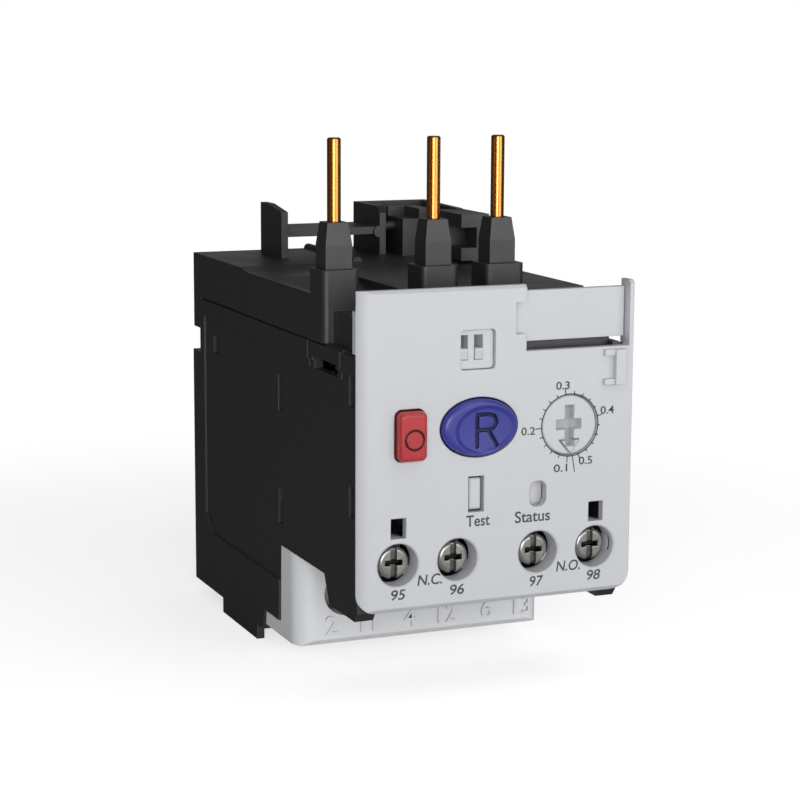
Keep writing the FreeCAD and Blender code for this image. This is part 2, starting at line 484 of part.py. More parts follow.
# Latch on the roof: a rail with a cross bar, and an open frame that ends in a C-shaped hook.
latch = body("contactor_latch")
TOP = "frame_top"
RAIL = ((f"{FRONT} + rail_front", TOP), (f"{FRONT} + rail_back", TOP),
        (f"{FRONT} + rail_back", f"{TOP} + latch_height + rail_rise"),
        (f"{FRONT} + rail_back - rail_flat", f"{TOP} + latch_height + rail_rise"),
        (f"{FRONT} + rail_front", f"{TOP} + latch_height - latch_drop"))
pad(latch, "rail", sketch(latch, "rail_side", "YZ", [RAIL], offset="rail_left"), "latch_wall")
BAR = span(f"{FRONT} + rail_front + bar_inset", f"{FRONT} + rail_back - bar_inset", f"{TOP} + bar_level",
           f"{TOP} + bar_level + bar_height")
pad(latch, "bar", sketch(latch, "bar_side", "YZ", [BAR], offset="rail_left + latch_wall / 2"),
    "frame_left - rail_left")
LEFT_WALL = ((f"{FRONT} + rail_front", TOP), (f"{FRONT} + frame_back", TOP),
             (f"{FRONT} + frame_back", f"{TOP} + latch_height + frame_rise"),
             (f"{FRONT} + rail_front + wall_slope", f"{TOP} + latch_height + frame_rise"),
             (f"{FRONT} + rail_front", f"{TOP} + latch_height - wall_drop"))
pad(latch, "frame_left_wall", sketch(latch, "frame_left_side", "YZ", [LEFT_WALL], offset="frame_left"),
    "latch_wall")
pad(latch, "frame_back_wall", sketch(latch, "frame_back_plan", "XY", [
    span("frame_left", "body_width / 2 - frame_inset", f"{FRONT} + frame_back - latch_wall",
         f"{FRONT} + frame_back")], offset=TOP),
    "latch_height + frame_rise")
RIGHT_WALL = ((f"{FRONT} + hook_front + hook_depth - 1", TOP), (f"{FRONT} + frame_back", TOP),
              (f"{FRONT} + frame_back", f"{TOP} + latch_height + frame_rise"),
              (f"{FRONT} + hook_front + hook_depth - 1", f"{TOP} + latch_height - latch_drop / 2"))
pad(latch, "frame_right_wall", sketch(latch, "frame_right_side", "YZ", [RIGHT_WALL],
                                      offset="body_width / 2 - frame_inset - latch_wall"),
    "latch_wall")
HOOK_RIGHT = "body_width / 2 - hook_inset"
HOOK = ((f"{HOOK_RIGHT} - hook_width", TOP), (HOOK_RIGHT, TOP),
        (HOOK_RIGHT, f"{TOP} + latch_height - latch_drop"),
        (f"{HOOK_RIGHT} - hook_width", f"{TOP} + latch_height - latch_drop"),
        (f"{HOOK_RIGHT} - hook_width", f"{TOP} + hook_open + hook_gap"),
        (f"{HOOK_RIGHT} - hook_lip", f"{TOP} + hook_open + hook_gap"),
        (f"{HOOK_RIGHT} - hook_lip", f"{TOP} + hook_open"),
        (f"{HOOK_RIGHT} - hook_width", f"{TOP} + hook_open"))
pad(latch, "hook", sketch(latch, "hook_front_view", "XZ", [HOOK],
                          offset="body_depth - hook_front - hook_slot"), "hook_slot")
HOOK_BACK = span(f"{HOOK_RIGHT} - hook_width", HOOK_RIGHT, TOP, f"{TOP} + latch_height - latch_drop")
pad(latch, "hook_back", sketch(latch, "hook_back_view", "XZ", [HOOK_BACK],
                               offset="body_depth - hook_front - hook_depth"),
    "hook_depth - hook_slot")
CORE = (("core_left", TOP), ("core_left + core_width", TOP),
        ("core_left + core_width", f"{TOP} + tower_height"),
        ("core_left + core_width - tower_width", f"{TOP} + tower_height"),
        ("core_left + core_width - tower_width", f"{TOP} + core_height"),
        ("core_left", f"{TOP} + core_height"))
latch_core = body("latch_core_block")
pad(latch_core, "core", sketch(latch_core, "core_front_view", "XZ", [CORE],
                               offset="body_depth - core_front - core_depth"),
    "core_depth")
CORE_RIM = span("core_left", "core_left + core_width", TOP, f"{TOP} + tower_height")
pad(latch_core, "core_rim", sketch(latch_core, "core_rim_view", "XZ", [CORE_RIM],
                                   offset="body_depth - core_front - core_depth"), "core_rim_thick")
side_rib = cylinder("side_rib", "y", "frame_left", f"{FRONT} + rail_front",
                    "frame_top + bar_level + bar_height / 3",
                    "side_rib_radius", "side_rib_length")
latch_pin = cylinder("latch_pin", "x", "frame_left + latch_wall / 2",
                     f"{FRONT} + rail_front + latch_pin_back", f"{TOP} + latch_pin_level",
                     "latch_pin_radius", "core_left - frame_left - latch_wall / 2")
latch_whole = fuse("latch_whole", latch, side_rib, latch_pin)

# Insulating sleeves, straight at the foot and tapered above, and the conductors inside them.
sleeves = []
conductors = []
tabs = []
for number, (pin, load) in enumerate(zip(PIN_PLACES, LOAD_PLACES), start=1):
    sleeve = body(f"pin_sleeve_{number}_body")
    square = [rectangle("0", "0", "sleeve_width / 2", "sleeve_depth / 2")]
    pad(sleeve, f"sleeve_foot_{number}", sketch(sleeve, f"sleeve_plan_{number}", "XY", square),
        "sleeve_shoulder - pedestal_top")
    pad(sleeve, f"sleeve_taper_{number}", sketch(sleeve, f"sleeve_shoulder_plan_{number}", "XY", square,
        offset="sleeve_shoulder - pedestal_top"), "sleeve_top - sleeve_shoulder", taper="-sleeve_taper")
    pocket(sleeve, f"sleeve_bore_{number}", sketch(sleeve, f"sleeve_bore_plan_{number}", "XY",
           circles=[("0", "0", "conductor_radius + running_gap")], offset="sleeve_top - pedestal_top + 1"),
           "sleeve_top - pedestal_top + 2")
    sleeves.append(bind(sleeve, x=pin, y=f"{FRONT} + pin_setback", z="pedestal_top"))

    # One round bar: down from the contactor, across to the load terminal's column, and down again.
    bar = body(f"phase_conductor_{number}")
    drop = "(pin_top - conductor_level)"
    tab_line = f"({LOAD_TAB} + load_tab_thick / 2)"
    reach = f"sqrt(({load} - ({pin}))^2 + ({tab_line} - ({FRONT} + pin_setback))^2)"
    top_of_tab = "(main_board_height - tab_rise)"
    spine = bar.newObject("Sketcher::SketchObject", f"conductor_path_{number}")
    lay_on(spine, bar, "XZ")
    # The points are a rough start: the bindings below them give the real places.
    spine.addGeometry(Part.LineSegment(vector(0, 0), vector(0, -30)), False)
    spine.addGeometry(Part.ArcOfCircle(Part.Circle(vector(3, -30), vector(0, 0, 1), 3), math.pi,
                                       1.5 * math.pi), False)
    spine.addGeometry(Part.LineSegment(vector(3, -33), vector(18, -33)), False)
    spine.addGeometry(Part.ArcOfCircle(Part.Circle(vector(18, -36), vector(0, 0, 1), 3), 0, 0.5 * math.pi),
                      False)
    spine.addGeometry(Part.LineSegment(vector(21, -36), vector(21, -60)), False)
    fix(spine, 0, 1, "0", "0", vector(0, 0))
    fix(spine, 0, 2, "0", f"-{drop} + conductor_bend", vector(0, -30))
    fix(spine, 2, 1, "conductor_bend", f"-{drop}", vector(3, -33))
    fix(spine, 2, 2, f"{reach} - conductor_bend", f"-{drop}", vector(18, -33))
    fix(spine, 4, 1, reach, f"-{drop} - conductor_bend", vector(21, -36))
    fix(spine, 4, 2, reach, f"-pin_top + {top_of_tab}", vector(21, -60))
    for constraint in ((1, 1, 0, 2), (3, 2, 2, 2)):
        spine.addConstraint(Sketcher.Constraint("Tangent", *constraint))
    for constraint in ((1, 2, 2, 1), (3, 1, 4, 1)):
        spine.addConstraint(Sketcher.Constraint("Coincident", *constraint))
    pipe = bar.newObject("PartDesign::AdditivePipe", f"conductor_bar_{number}")
    pipe.Profile = sketch(bar, f"conductor_section_{number}", "XY",
                          circles=[("0", "0", "conductor_radius")])
    pipe.Spine = (spine, [])
    pad(bar, f"line_pin_{number}", sketch(bar, f"line_pin_plan_{number}", "XY",
                                          circles=[("0", "0", "pin_radius")],
        offset="sleeve_top - pin_top"), "pin_top - sleeve_top")
    round_edges(bar, f"pin_tip_{number}", "pin_bevel", lambda point, run: point.z > -0.01, "Chamfer")
    bind(bar, x=pin, y=f"{FRONT} + pin_setback", z="pin_top")
    bar.setExpression("Placement.Rotation.Angle",
                      link(f"atan2({tab_line} - ({FRONT} + pin_setback); {load} - ({pin}))"))
    conductors.append(bar)
    tabs.append(box(f"load_tab_{number}", f"{load} - load_tab_width / 2", LOAD_TAB,
                    "-load_drop - load_cage_height / 2",
                    "load_tab_width", "load_tab_thick", f"load_drop + load_cage_height / 2 + {top_of_tab}"))

# White block of the three load terminals, with driver holes in front and wire holes below.
block = body("terminal_block")
BLOCK_SIDE = ((f"{FRONT} + block_setback", "mid_floor"),
              (f"{FRONT} + heel_setback - block_gap", "mid_floor"),
              (f"{FRONT} + heel_setback - block_gap + heel_slant", "-heel_drop - block_gap"),
              (f"{FRONT} + heel_setback - block_gap + heel_slant + heel_step", "-heel_drop - block_gap"),
              (f"{FRONT} + heel_setback - block_gap + 2 * heel_slant + heel_step", "-block_drop"),
              (f"{FRONT} + block_setback", "-block_drop"))
pad(block, "block_front", sketch(block, "block_side", "YZ", [BLOCK_SIDE]), "block_width", middle=True)
round_edges(block, "block_rounding", "block_round", lambda point, run:
            abs(run.z) > 10 and point.y < -size("body_depth") + size("block_setback") + 0.1)
LOWER_EDGE = ((f"{FRONT} + block_setback - 1", "-block_drop + 1 + block_bevel"),
              (f"{FRONT} + block_setback + 1 + block_bevel", "-block_drop - 1"),
              (f"{FRONT} + block_setback - 1", "-block_drop - 1"))
pocket(block, "block_lower_edge", sketch(block, "lower_edge_side", "YZ", [LOWER_EDGE]), "body_width",
       middle=True)
REAR = span(f"{FRONT} + heel_setback - 2", f"{FRONT} + bay_setback - block_gap", "-block_drop", "mid_floor")
pad(block, "block_rear", sketch(block, "block_rear_side", "YZ", [REAR]),
    "body_width - 2 * wall - 2 * block_gap", middle=True)
DRIVER_DEPTH = "load_head_setback + load_head_thick - block_setback"
pocket(block, "driver_holes", sketch(block, "driver_plan", "XZ", circles=[
    (x, "-load_drop", "driver_radius") for x in LOAD_PLACES], offset="body_depth - block_setback + 1"),
    f"{DRIVER_DEPTH} + 1.1")
pocket(block, "cage_bays", sketch(block, "cage_bay_plan", "XZ", [
    rectangle(x, "-load_drop", "load_cage_width / 2 + cage_room", "load_cage_height / 2 + cage_room")
    for x in LOAD_PLACES], offset=f"body_depth - block_setback - ({DRIVER_DEPTH})"),
    f"bay_setback - block_gap - block_setback - ({DRIVER_DEPTH}) - wall")
pocket(block, "wire_windows", sketch(block, "wire_window_plan", "XY", [
    span(f"{x} - wire_window / 2", f"{x} + wire_window / 2", f"{LOAD_TAB} + load_tab_thick",
         f"{LOAD_TAB} + load_tab_thick + load_wire_gap") for x in LOAD_PLACES], offset="-block_drop - 1"),
    "block_drop + 1 - load_drop - load_cage_height / 2", reverse=True)
pocket(block, "tab_slots", sketch(block, "tab_slot_plan", "XY", [
    span(f"{x} - load_tab_width / 2 - 0.1", f"{x} + load_tab_width / 2 + 0.1", f"{LOAD_TAB} - 0.1",
         f"{LOAD_TAB} + load_tab_thick + 0.1") for x in LOAD_PLACES], offset="mid_floor + 1"),
    "mid_floor + 1 + load_drop - load_cage_height / 2")


def screw(name, kind, x, y, z):
    """A terminal screw along Y: a bevelled head with a slot and a cross, and its shank."""
    item = body(name)
    past_cage = f"{kind}_cage_wall + {kind}_tip_room - seat_gap"
    shank_end = f"{kind}_head_thick + {kind}_travel + cage_room + {past_cage}"
    half = (("0", "0"), ("0", f"{kind}_head_radius - bevel"), ("bevel", f"{kind}_head_radius"),
            (f"{kind}_head_thick", f"{kind}_head_radius"), (f"{kind}_head_thick", f"{kind}_shank_radius"),
            (f"{shank_end} - bevel", f"{kind}_shank_radius"), (shank_end, f"{kind}_shank_radius - bevel"),
            (shank_end, "0"))
    turned = item.newObject("PartDesign::Revolution", f"{name}_turned")
    turned.Profile = sketch(item, f"{name}_half", "YZ", [half])
    turned.ReferenceAxis = (turned.Profile[0], ["H_Axis"])
    turned.Angle = 360
    reach = f"{kind}_head_radius + 1"
    pocket(item, f"{name}_slot", sketch(item, f"{name}_slot_plan", "XZ", [
        rectangle("0", "0", f"{kind}_slot / 2", reach)], offset="0.5"), f"0.5 + {kind}_head_thick / 2")
    pocket(item, f"{name}_cross", sketch(item, f"{name}_cross_plan", "XZ", [
        rectangle("0", "0", f"{kind}_head_radius * 0.6", f"{kind}_slot / 2")], offset="0.5"),
        f"0.5 + {kind}_head_thick * 0.75")
    return bind(item, x=x, y=y, z=z)


def cage(name, kind, x, z, front):
    """A clamp box round the tab and the wire, tapped in front for the screw."""
    depth = f"2 * {kind}_cage_wall + {kind}_tip_room + {kind}_tab_thick + {kind}_wire_gap"
    outer = box(f"{name}_outer", f"{x} - {kind}_cage_width / 2", front, f"{z} - {kind}_cage_height / 2",
                f"{kind}_cage_width", depth, f"{kind}_cage_height")
    inner = box(f"{name}_inner", f"{x} - {kind}_cage_width / 2 + {kind}_cage_wall",
                f"{front} + {kind}_cage_wall",
                f"{z} - {kind}_cage_height / 2 - 1", f"{kind}_cage_width - 2 * {kind}_cage_wall",
                f"{depth} - 2 * {kind}_cage_wall", f"{kind}_cage_height + 2")
    thread = cylinder(f"{name}_thread", "y", x, f"{front} - 1", z, f"{kind}_shank_radius + running_gap",
                      f"{kind}_cage_wall + 2")
    return cut(name, outer, inner, thread)


load_screws = [screw(f"load_screw_{n}", "load", x, f"{FRONT} + load_head_setback", "-load_drop")
               for n, x in enumerate(LOAD_PLACES, start=1)]
load_cages = [cage(f"load_clamp_{n}", "load", x, "-load_drop", LOAD_CAGE)
              for n, x in enumerate(LOAD_PLACES, start=1)]
aux_screws = [screw(f"aux_screw_{n}", "aux", x, f"{FRONT} + aux_head_setback", "terminal_height")
              for n, x in enumerate(AUX_PLACES, start=1)]
aux_cages = [cage(f"aux_clamp_{n}", "aux", x, "terminal_height", AUX_CAGE)
             for n, x in enumerate(AUX_PLACES, start=1)]

# Contact straps: a tab in the clamp, bent back over it to a contact pad.
straps = []
CONTACT_Y = f"{FRONT} + contact_setback"
for number, (x, inward, closed) in enumerate(zip(AUX_PLACES, (1, -1, 1, -1), (True, True, False, False)),
                                             start=1):
    strap = body(f"contact_strap_{number}_body")
    side = ((AUX_TAB, "terminal_height - aux_cage_height / 2"),
            (f"{AUX_TAB} + aux_tab_thick", "terminal_height - aux_cage_height / 2"),
            (f"{AUX_TAB} + aux_tab_thick", "strap_level"), (f"{FRONT} + strap_length", "strap_level"),
            (f"{FRONT} + strap_length", "strap_level + aux_tab_thick * 0.8"),
            (AUX_TAB, "strap_level + aux_tab_thick * 0.8"))
    pad(strap, f"strap_bend_{number}", sketch(strap, f"strap_side_{number}", "YZ", [side]), "aux_tab_width",
        middle=True)
    strap.setExpression("Placement.Base.x", link(x))
    level = "strap_level + aux_tab_thick * 0.8" if closed else "strap_level - contact_pad"
    pad_disc = cylinder(f"contact_pad_{number}", "z", f"{x} + {inward} * pad_shift", CONTACT_Y, level,
                        "pad_radius", "contact_pad")
    straps.append(fuse(f"contact_strap_{number}", strap, pad_disc))

# Contact bridges: the closed pair rests on its pads, the open pair waits one stroke below.
NC_LEVEL = "strap_level + aux_tab_thick * 0.8 + contact_pad + contact_gap"
NO_LEVEL = "strap_level - contact_pad - stroke - contact_gap - bridge_thick"
bridges = []
for name, left, right, level in (("nc_bridge", AUX_PLACES[0], AUX_PLACES[1], NC_LEVEL),
                                 ("no_bridge", AUX_PLACES[2], AUX_PLACES[3], NO_LEVEL)):
    bridges.append(box(name, f"{left} - bridge_end", f"{CONTACT_Y} - bridge_depth / 2", level,
                       f"{right} - ({left}) + 2 * bridge_end", "bridge_depth", "bridge_thick"))

# Carrier that lifts both bridges and carries the status flag on an arm to the front.
NC_MIDDLE = f"({AUX_PLACES[0]} + {AUX_PLACES[1]}) / 2"
NO_MIDDLE = f"({AUX_PLACES[2]} + {AUX_PLACES[3]}) / 2"
carrier_bar = box("carrier_bar", f"{NC_MIDDLE} - leg_width", f"{CONTACT_Y} - carrier_depth / 2",
                  "carrier_bottom",
                  f"{NO_MIDDLE} - {NC_MIDDLE} + 2 * leg_width", "carrier_depth", "carrier_height")
nc_leg = box("nc_leg", f"{NC_MIDDLE} - leg_width / 2", f"{CONTACT_Y} - bridge_depth / 2",
             f"{NC_LEVEL} + bridge_thick",
             "leg_width", "bridge_depth", f"carrier_bottom - ({NC_LEVEL} + bridge_thick) + 0.5")
no_leg = box("no_leg", f"{NO_MIDDLE} - leg_width / 2", f"{CONTACT_Y} - bridge_depth / 2",
             f"{NO_LEVEL} + bridge_thick",
             "leg_width", "bridge_depth", f"carrier_bottom - ({NO_LEVEL} + bridge_thick) + 0.5")
arm = box("flag_arm", "window_middle - arm_width / 2", f"{FRONT} + flag_setback + flag_thick", "arm_bottom",
          "arm_width",
          "contact_setback - flag_setback - flag_thick + 0.5", "arm_height")
arm_rise = box("arm_rise", "window_middle - arm_width / 2", f"{CONTACT_Y} - carrier_depth / 2",
               "arm_bottom",
               "arm_width", "carrier_depth", "carrier_bottom - arm_bottom + 0.5")
TAIL_Y = f"{FRONT} + relay_setback - 0.5"
TIP_X = "panel_middle + pivot_offset - armature_arm"
tail = box("carrier_tail", f"{TIP_X} - tail_half", f"{CONTACT_Y} + carrier_depth / 2 - 0.1",
           "armature_level - tail_thick", "2 * tail_half", "tail_thick",
           "carrier_bottom + carrier_height - armature_level + tail_thick")
tail_slot = box("tail_slot", f"{TIP_X} - 1", CONTACT_Y, "armature_level - tail_play", "2", "4",
                "armature_thick + tail_room")
guide_holes = [cylinder(f"guide_hole_{n}", "z", x, y, "carrier_bottom - 1", "guide_radius + running_gap",
                        "carrier_height + 3") for n, (x, y, _) in enumerate(GUIDES, start=1)]
contact_carrier = cut("contact_carrier", fuse("carrier_whole", carrier_bar, nc_leg, no_leg, arm, arm_rise,
                                              tail),
                      tail_slot, *guide_holes)
status_flag = box("status_flag", "window_middle - window_half_width - flag_margin",
                  f"{FRONT} + flag_setback", "flag_low",
                  "2 * window_half_width + 2 * flag_margin", "flag_thick", "flag_high - flag_low")

# Trip relay: an armature hinged on the yoke's leg lifts the carrier's tail towards the core.
RELAY_Y = f"{FRONT} + relay_setback"
RELAY_MIDDLE = f"{RELAY_Y} + relay_depth / 2"
PIVOT_X = "panel_middle + pivot_offset"
plate = box("armature_plate", f"{TIP_X} - armature_tip", RELAY_Y, "armature_level",
            "armature_arm + armature_tip", "relay_depth",
            "armature_thick")
finger = box("armature_finger", f"{TIP_X} - finger_half", f"{RELAY_Y} - finger_reach", "armature_level",
             "2 * finger_half", "finger_reach + 0.2", "armature_thick")
pivot = cylinder("armature_pivot", "y", PIVOT_X, RELAY_Y, "armature_level + armature_thick / 2",
                 "armature_thick / 2",
                 "relay_depth")
armature = fuse("relay_armature", plate, finger, pivot)
YOKE_TOP = "coil_bottom + coil_height"
leg = box("yoke_leg", f"{PIVOT_X} + yoke_gap", RELAY_Y, "mid_floor + mid_floor_skin", "yoke_thick",
          "relay_depth",
          f"{YOKE_TOP} + yoke_thick - mid_floor - mid_floor_skin")
roof = box("yoke_roof", "panel_middle - coil_radius", RELAY_Y, YOKE_TOP,
           "pivot_offset + yoke_gap + yoke_thick + coil_radius", "relay_depth", "yoke_thick")
POLE = "armature_level + armature_thick + pole_gap"
relay_pole = cylinder("relay_pole", "z", "panel_middle", RELAY_MIDDLE, POLE, "core_radius",
                      f"{YOKE_TOP} - ({POLE}) + 0.5")
relay_yoke = fuse("relay_yoke", leg, roof, relay_pole)
coil_outside = cylinder("coil_outside", "z", "panel_middle", RELAY_MIDDLE, "coil_bottom", "coil_radius",
                        "coil_height")
coil_bore = cylinder("coil_bore", "z", "panel_middle", RELAY_MIDDLE, "coil_bottom - 1",
                     "core_radius + running_gap", "coil_height + 2")
relay_coil = cut("relay_coil", coil_outside, coil_bore)

# Circuit boards: one upright behind the cover, one level under the current transformers.
PIVOTS = (("reset_middle", "reset_height", "reset_stem_radius"),
          ("stop_middle", "stop_height", "stop_stem_radius"))
BOARD_Y = f"{FRONT} + board_setback"
front_board = body("front_board")
BOARD_HALF = "body_width / 2 - wall - board_gap"
INNER_HALF = "body_width / 2 - bonnet_inset - wall - board_gap"
BOARD_OUTLINE = ((f"-({BOARD_HALF})", "board_bottom"), (BOARD_HALF, "board_bottom"),
                 (BOARD_HALF, "base_top - 0.1"),
                 (INNER_HALF, "base_top - 0.1"), (INNER_HALF, "board_top"),
                 (f"-({INNER_HALF})", "board_top"),
                 (f"-({INNER_HALF})", "base_top - 0.1"), (f"-({BOARD_HALF})", "base_top - 0.1"))
pad(front_board, "front_board_sheet", sketch(front_board, "front_board_plan", "XZ", [BOARD_OUTLINE],
    offset="body_depth - board_setback - board_thick"), "board_thick")
pocket(front_board, "stem_holes", sketch(front_board, "stem_hole_plan", "XZ", circles=[
    (x, z, f"{radius} + button_gap") for x, z, radius in PIVOTS], offset="body_depth - board_setback + 1"),
       "board_thick + 2")
main_board = body("main_board")
pad(main_board, "main_board_sheet", sketch(main_board, "main_board_plan", "XY", [
    span(f"-({BOARD_HALF})", BOARD_HALF, f"{FRONT} + main_board_setback",
         f"{FRONT} + main_board_setback + main_board_length")], offset="main_board_height"), "board_thick")
pocket(main_board, "conductor_holes", sketch(main_board, "conductor_hole_plan", "XY", circles=[
    (x, f"{LOAD_TAB} + load_tab_thick / 2", "conductor_radius + conductor_gap") for x in LOAD_PLACES],
    offset="main_board_height + board_thick + 1"), "board_thick + 2")

# Current transformers: a core ring inside a winding, standing on the main board.
windings = []
cores = []
for number, x in enumerate(LOAD_PLACES, start=1):
    y = f"{LOAD_TAB} + load_tab_thick / 2"
    low = "main_board_height + board_thick"
    outside = cylinder(f"winding_outside_{number}", "z", x, y, low, "ring_radius", "ring_height")
    hole = cylinder(f"winding_hole_{number}", "z", x, y, f"{low} - 1", "ring_hole", "ring_height + 2")
    chamber = cut(f"winding_chamber_{number}",
                  cylinder(f"chamber_outside_{number}", "z", x, y, f"{low} + winding_skin",
                           "core_ring_radius",
                           "ring_height - 2 * winding_skin"),
                  cylinder(f"chamber_inside_{number}", "z", x, y, low, "core_ring_hole", "ring_height"))
    windings.append(cut(f"transformer_winding_{number}", outside, hole, chamber))
    cores.append(cut(f"transformer_core_{number}",
                     cylinder(f"core_outside_{number}", "z", x, y, f"{low} + winding_skin",
                              "core_ring_radius",
                              "ring_height - 2 * winding_skin"),
                     cylinder(f"core_inside_{number}", "z", x, y, low, "core_ring_hole", "ring_height")))

# Front cover: one plan section with a curved left edge, then its windows.
cover = body("front_cover")
section = cover.newObject("Sketcher::SketchObject", "cover_section")
lay_on(section, cover, "XY")
CORNERS = (("-body_width / 2", FRONT), ("cover_width - body_width / 2", FRONT),
           ("cover_width - body_width / 2", f"{FRONT} - cover_thick"),
           ("-body_width / 2 + edge_round", f"{FRONT} - cover_thick"))
LEFT_EDGE = -size("body_width") / 2
RIGHT_EDGE = LEFT_EDGE + size("body_width") + size("cover_overhang")
SEAT_LINE = -size("body_depth")
PANEL_LINE = SEAT_LINE - size("cover_thick")
starts = [vector(LEFT_EDGE, SEAT_LINE), vector(RIGHT_EDGE, SEAT_LINE), vector(RIGHT_EDGE, PANEL_LINE),
          vector(LEFT_EDGE + size("edge_round"), PANEL_LINE)]
for first, last in ((0, 1), (1, 2), (2, 3)):
    section.addGeometry(Part.LineSegment(starts[first], starts[last]), False)
edge_run, edge_rise = size("edge_round"), size("cover_thick")
radius = (edge_run ** 2 + edge_rise ** 2) / (2 * edge_rise)
edge_circle = Part.Circle(vector(LEFT_EDGE + edge_run, PANEL_LINE + radius), vector(0, 0, 1), radius)
edge_start = math.atan2(edge_rise - radius, -edge_run) + 2 * math.pi
section.addGeometry(Part.ArcOfCircle(edge_circle, edge_start, 1.5 * math.pi), False)
for index in range(3):
    fix(section, index, 1, *CORNERS[index], starts[index])
fix(section, 2, 2, *CORNERS[3], starts[3])
for constraint in ((0, 2, 1, 1), (1, 2, 2, 1), (3, 1, 0, 1)):
    section.addConstraint(Sketcher.Constraint("Coincident", *constraint))
section.addConstraint(Sketcher.Constraint("Tangent", 3, 2, 2, 2))
pad(cover, "cover_plate", section, "cover_height")
UPPER_EDGE = ((f"{FRONT} - cover_thick - 1", "cover_height - cover_bevel - 1"),
              (f"{FRONT} - cover_thick - 1", "cover_height + 1"),
              (f"{FRONT} - cover_thick + cover_bevel + 1", "cover_height + 1"))
UNDER_EDGE = ((f"{FRONT} - cover_thick - 1", "under_bevel + 1"), (f"{FRONT} - cover_thick - 1", "-1"),
              (f"{FRONT} - cover_thick + under_bevel + 1", "-1"))
pocket(cover, "cover_edges", sketch(cover, "cover_edge_sides", "YZ", [UPPER_EDGE, UNDER_EDGE]),
       "3 * body_width",
       middle=True)
PANEL = f"{FRONT} - cover_thick"
RIGHT = "cover_width - body_width / 2"
LABEL_BAY = (("label_left", "cover_height + 1"), ("label_left", "notch_high"),
             ("label_left - notch_depth", "notch_high"),
             ("label_left - notch_depth", "notch_low"), ("label_left", "notch_low"),
             ("label_left", "label_floor"),
             (f"{RIGHT} - flange_thick", "label_floor"), (f"{RIGHT} - flange_thick", "cover_height + 1"))
DEEP = "body_depth + cover_thick + 1"
THROUGH = "cover_thick + 2"
pocket(cover, "label_bay", sketch(cover, "label_bay_plan", "XZ", [LABEL_BAY], offset=DEEP), THROUGH)
WINDOWS = [rectangle("stop_middle", "stop_height", "stop_half_width + button_gap",
                     "stop_half_height + button_gap"),
           rectangle("test_middle", "test_height", "test_half_width + button_gap",
                     "test_half_height + button_gap"),
           rectangle("window_middle", "window_height", "window_half_width", "window_half_height"),
           rectangle("switch_middle", "switch_height", "switch_half_width + window_gap",
                     "switch_half_height + window_gap"),
           rectangle(AUX_PLACES[0], "probe_height", "probe_half_width", "probe_half_height"),
           rectangle(AUX_PLACES[3], "probe_height", "probe_half_width", "probe_half_height")]
ROUND_WINDOWS = [(x, "terminal_height", "hole_radius") for x in AUX_PLACES]
ROUND_WINDOWS.append(("dial_middle", "dial_height", "dial_radius + button_gap / 2"))
collars = [(x, "terminal_height", "hole_radius + collar_wall") for x in AUX_PLACES]
pad(cover, "collars", sketch(cover, "collar_plan", "XZ", circles=collars,
                             offset="body_depth - collar_depth"),
    "collar_depth + cover_thick / 2")
pocket(cover, "windows", sketch(cover, "window_plan", "XZ", WINDOWS, ROUND_WINDOWS, offset=DEEP),
       "collar_depth + cover_thick + 2")
ellipse = cover.newObject("Sketcher::SketchObject", "reset_window_plan")
lay_on(ellipse, cover, "XZ")
ellipse.setExpression("AttachmentOffset.Base.z", link(DEEP))
oval = ellipse.addGeometry(Part.Ellipse(vector(0, 0), 7, 5), False)
ellipse.exposeInternalGeometry(oval)
fix(ellipse, oval, 3, "reset_middle", "reset_height", vector(0, 0))
ellipse.addConstraint(Sketcher.Constraint("Horizontal", oval + 1))
for line, text in ((oval + 1, "2 * (reset_half_width + button_gap)"),
                   (oval + 2, "2 * (reset_half_height + button_gap)")):
    held = ellipse.addConstraint(Sketcher.Constraint("Distance", line, 5.0))
    ellipse.setExpression(f"Constraints[{held}]", link(text))
pocket(cover, "reset_window", ellipse, THROUGH)
round_edges(cover, "hole_bevels", "bevel * 0.6", lambda point, run: run.Length < 1e-6 and point.z < 14
            and point.y < -size("body_depth") - size("cover_thick") + 0.01, "Chamfer")
WINDOW_ROUNDS = {"window": ("window_half_width * 0.85", 1, 0),
                 "stop": ("stop_round + button_gap", -1, size("button_gap")),
                 "switch": ("switch_round", -1, size("window_gap"))}
for name, (radius, side, room) in WINDOW_ROUNDS.items():
    high = size(f"{name}_half_height") + room
    round_edges(cover, f"{name}_rounding", radius, lambda point, run: abs(run.y) > 1 and side * point.x > 0
                and abs(abs(point.z - size(f"{name}_height")) - high) < 0.001)
flange = box("cover_flange", f"{RIGHT} - flange_thick", FRONT, "label_floor", "flange_thick",
             "flange_depth",
             "cover_height - label_floor")
side_tab = box("cover_tab", "-body_width / 2", FRONT, "tab_low", "bonnet_inset * 0.8", "tab_depth",
               "tab_high - tab_low")
loop_bar = box("loop_bar", f"{RIGHT} - loop_edge - loop_bar_width", f"{PANEL} - loop_stand", "loop_floor",
               "loop_bar_width", "loop_stand + cover_thick / 2", "loop_height")
loop_arms = [box(f"{name}_loop_arm", f"{RIGHT} - loop_edge - loop_width", f"{PANEL} - loop_stand * 0.6",
                 level,
                 "loop_width - loop_bar_width / 2", "loop_stand * 0.6 + cover_thick / 2", "loop_wall")
             for name, level in (("lower", "loop_floor"),
                                 ("upper", "loop_floor + loop_height - loop_wall"))]
corners = []
for side, low, middle in (("left", "-body_width / 2 - 1", "-body_width / 2 + corner_round"),
                          ("right", f"{RIGHT} - corner_round", f"{RIGHT} - corner_round")):
    square = box(f"{side}_corner", low, f"{PANEL} - 1", "-1", "corner_round + 1", "cover_thick + 1.5",
                 "corner_round + 1")
    disc = cylinder(f"{side}_corner_disc", "y", middle, f"{PANEL} - 2", "corner_round", "corner_round",
                    "cover_thick + 4")
    corners.append(cut(f"{side}_corner_cut", square, disc))
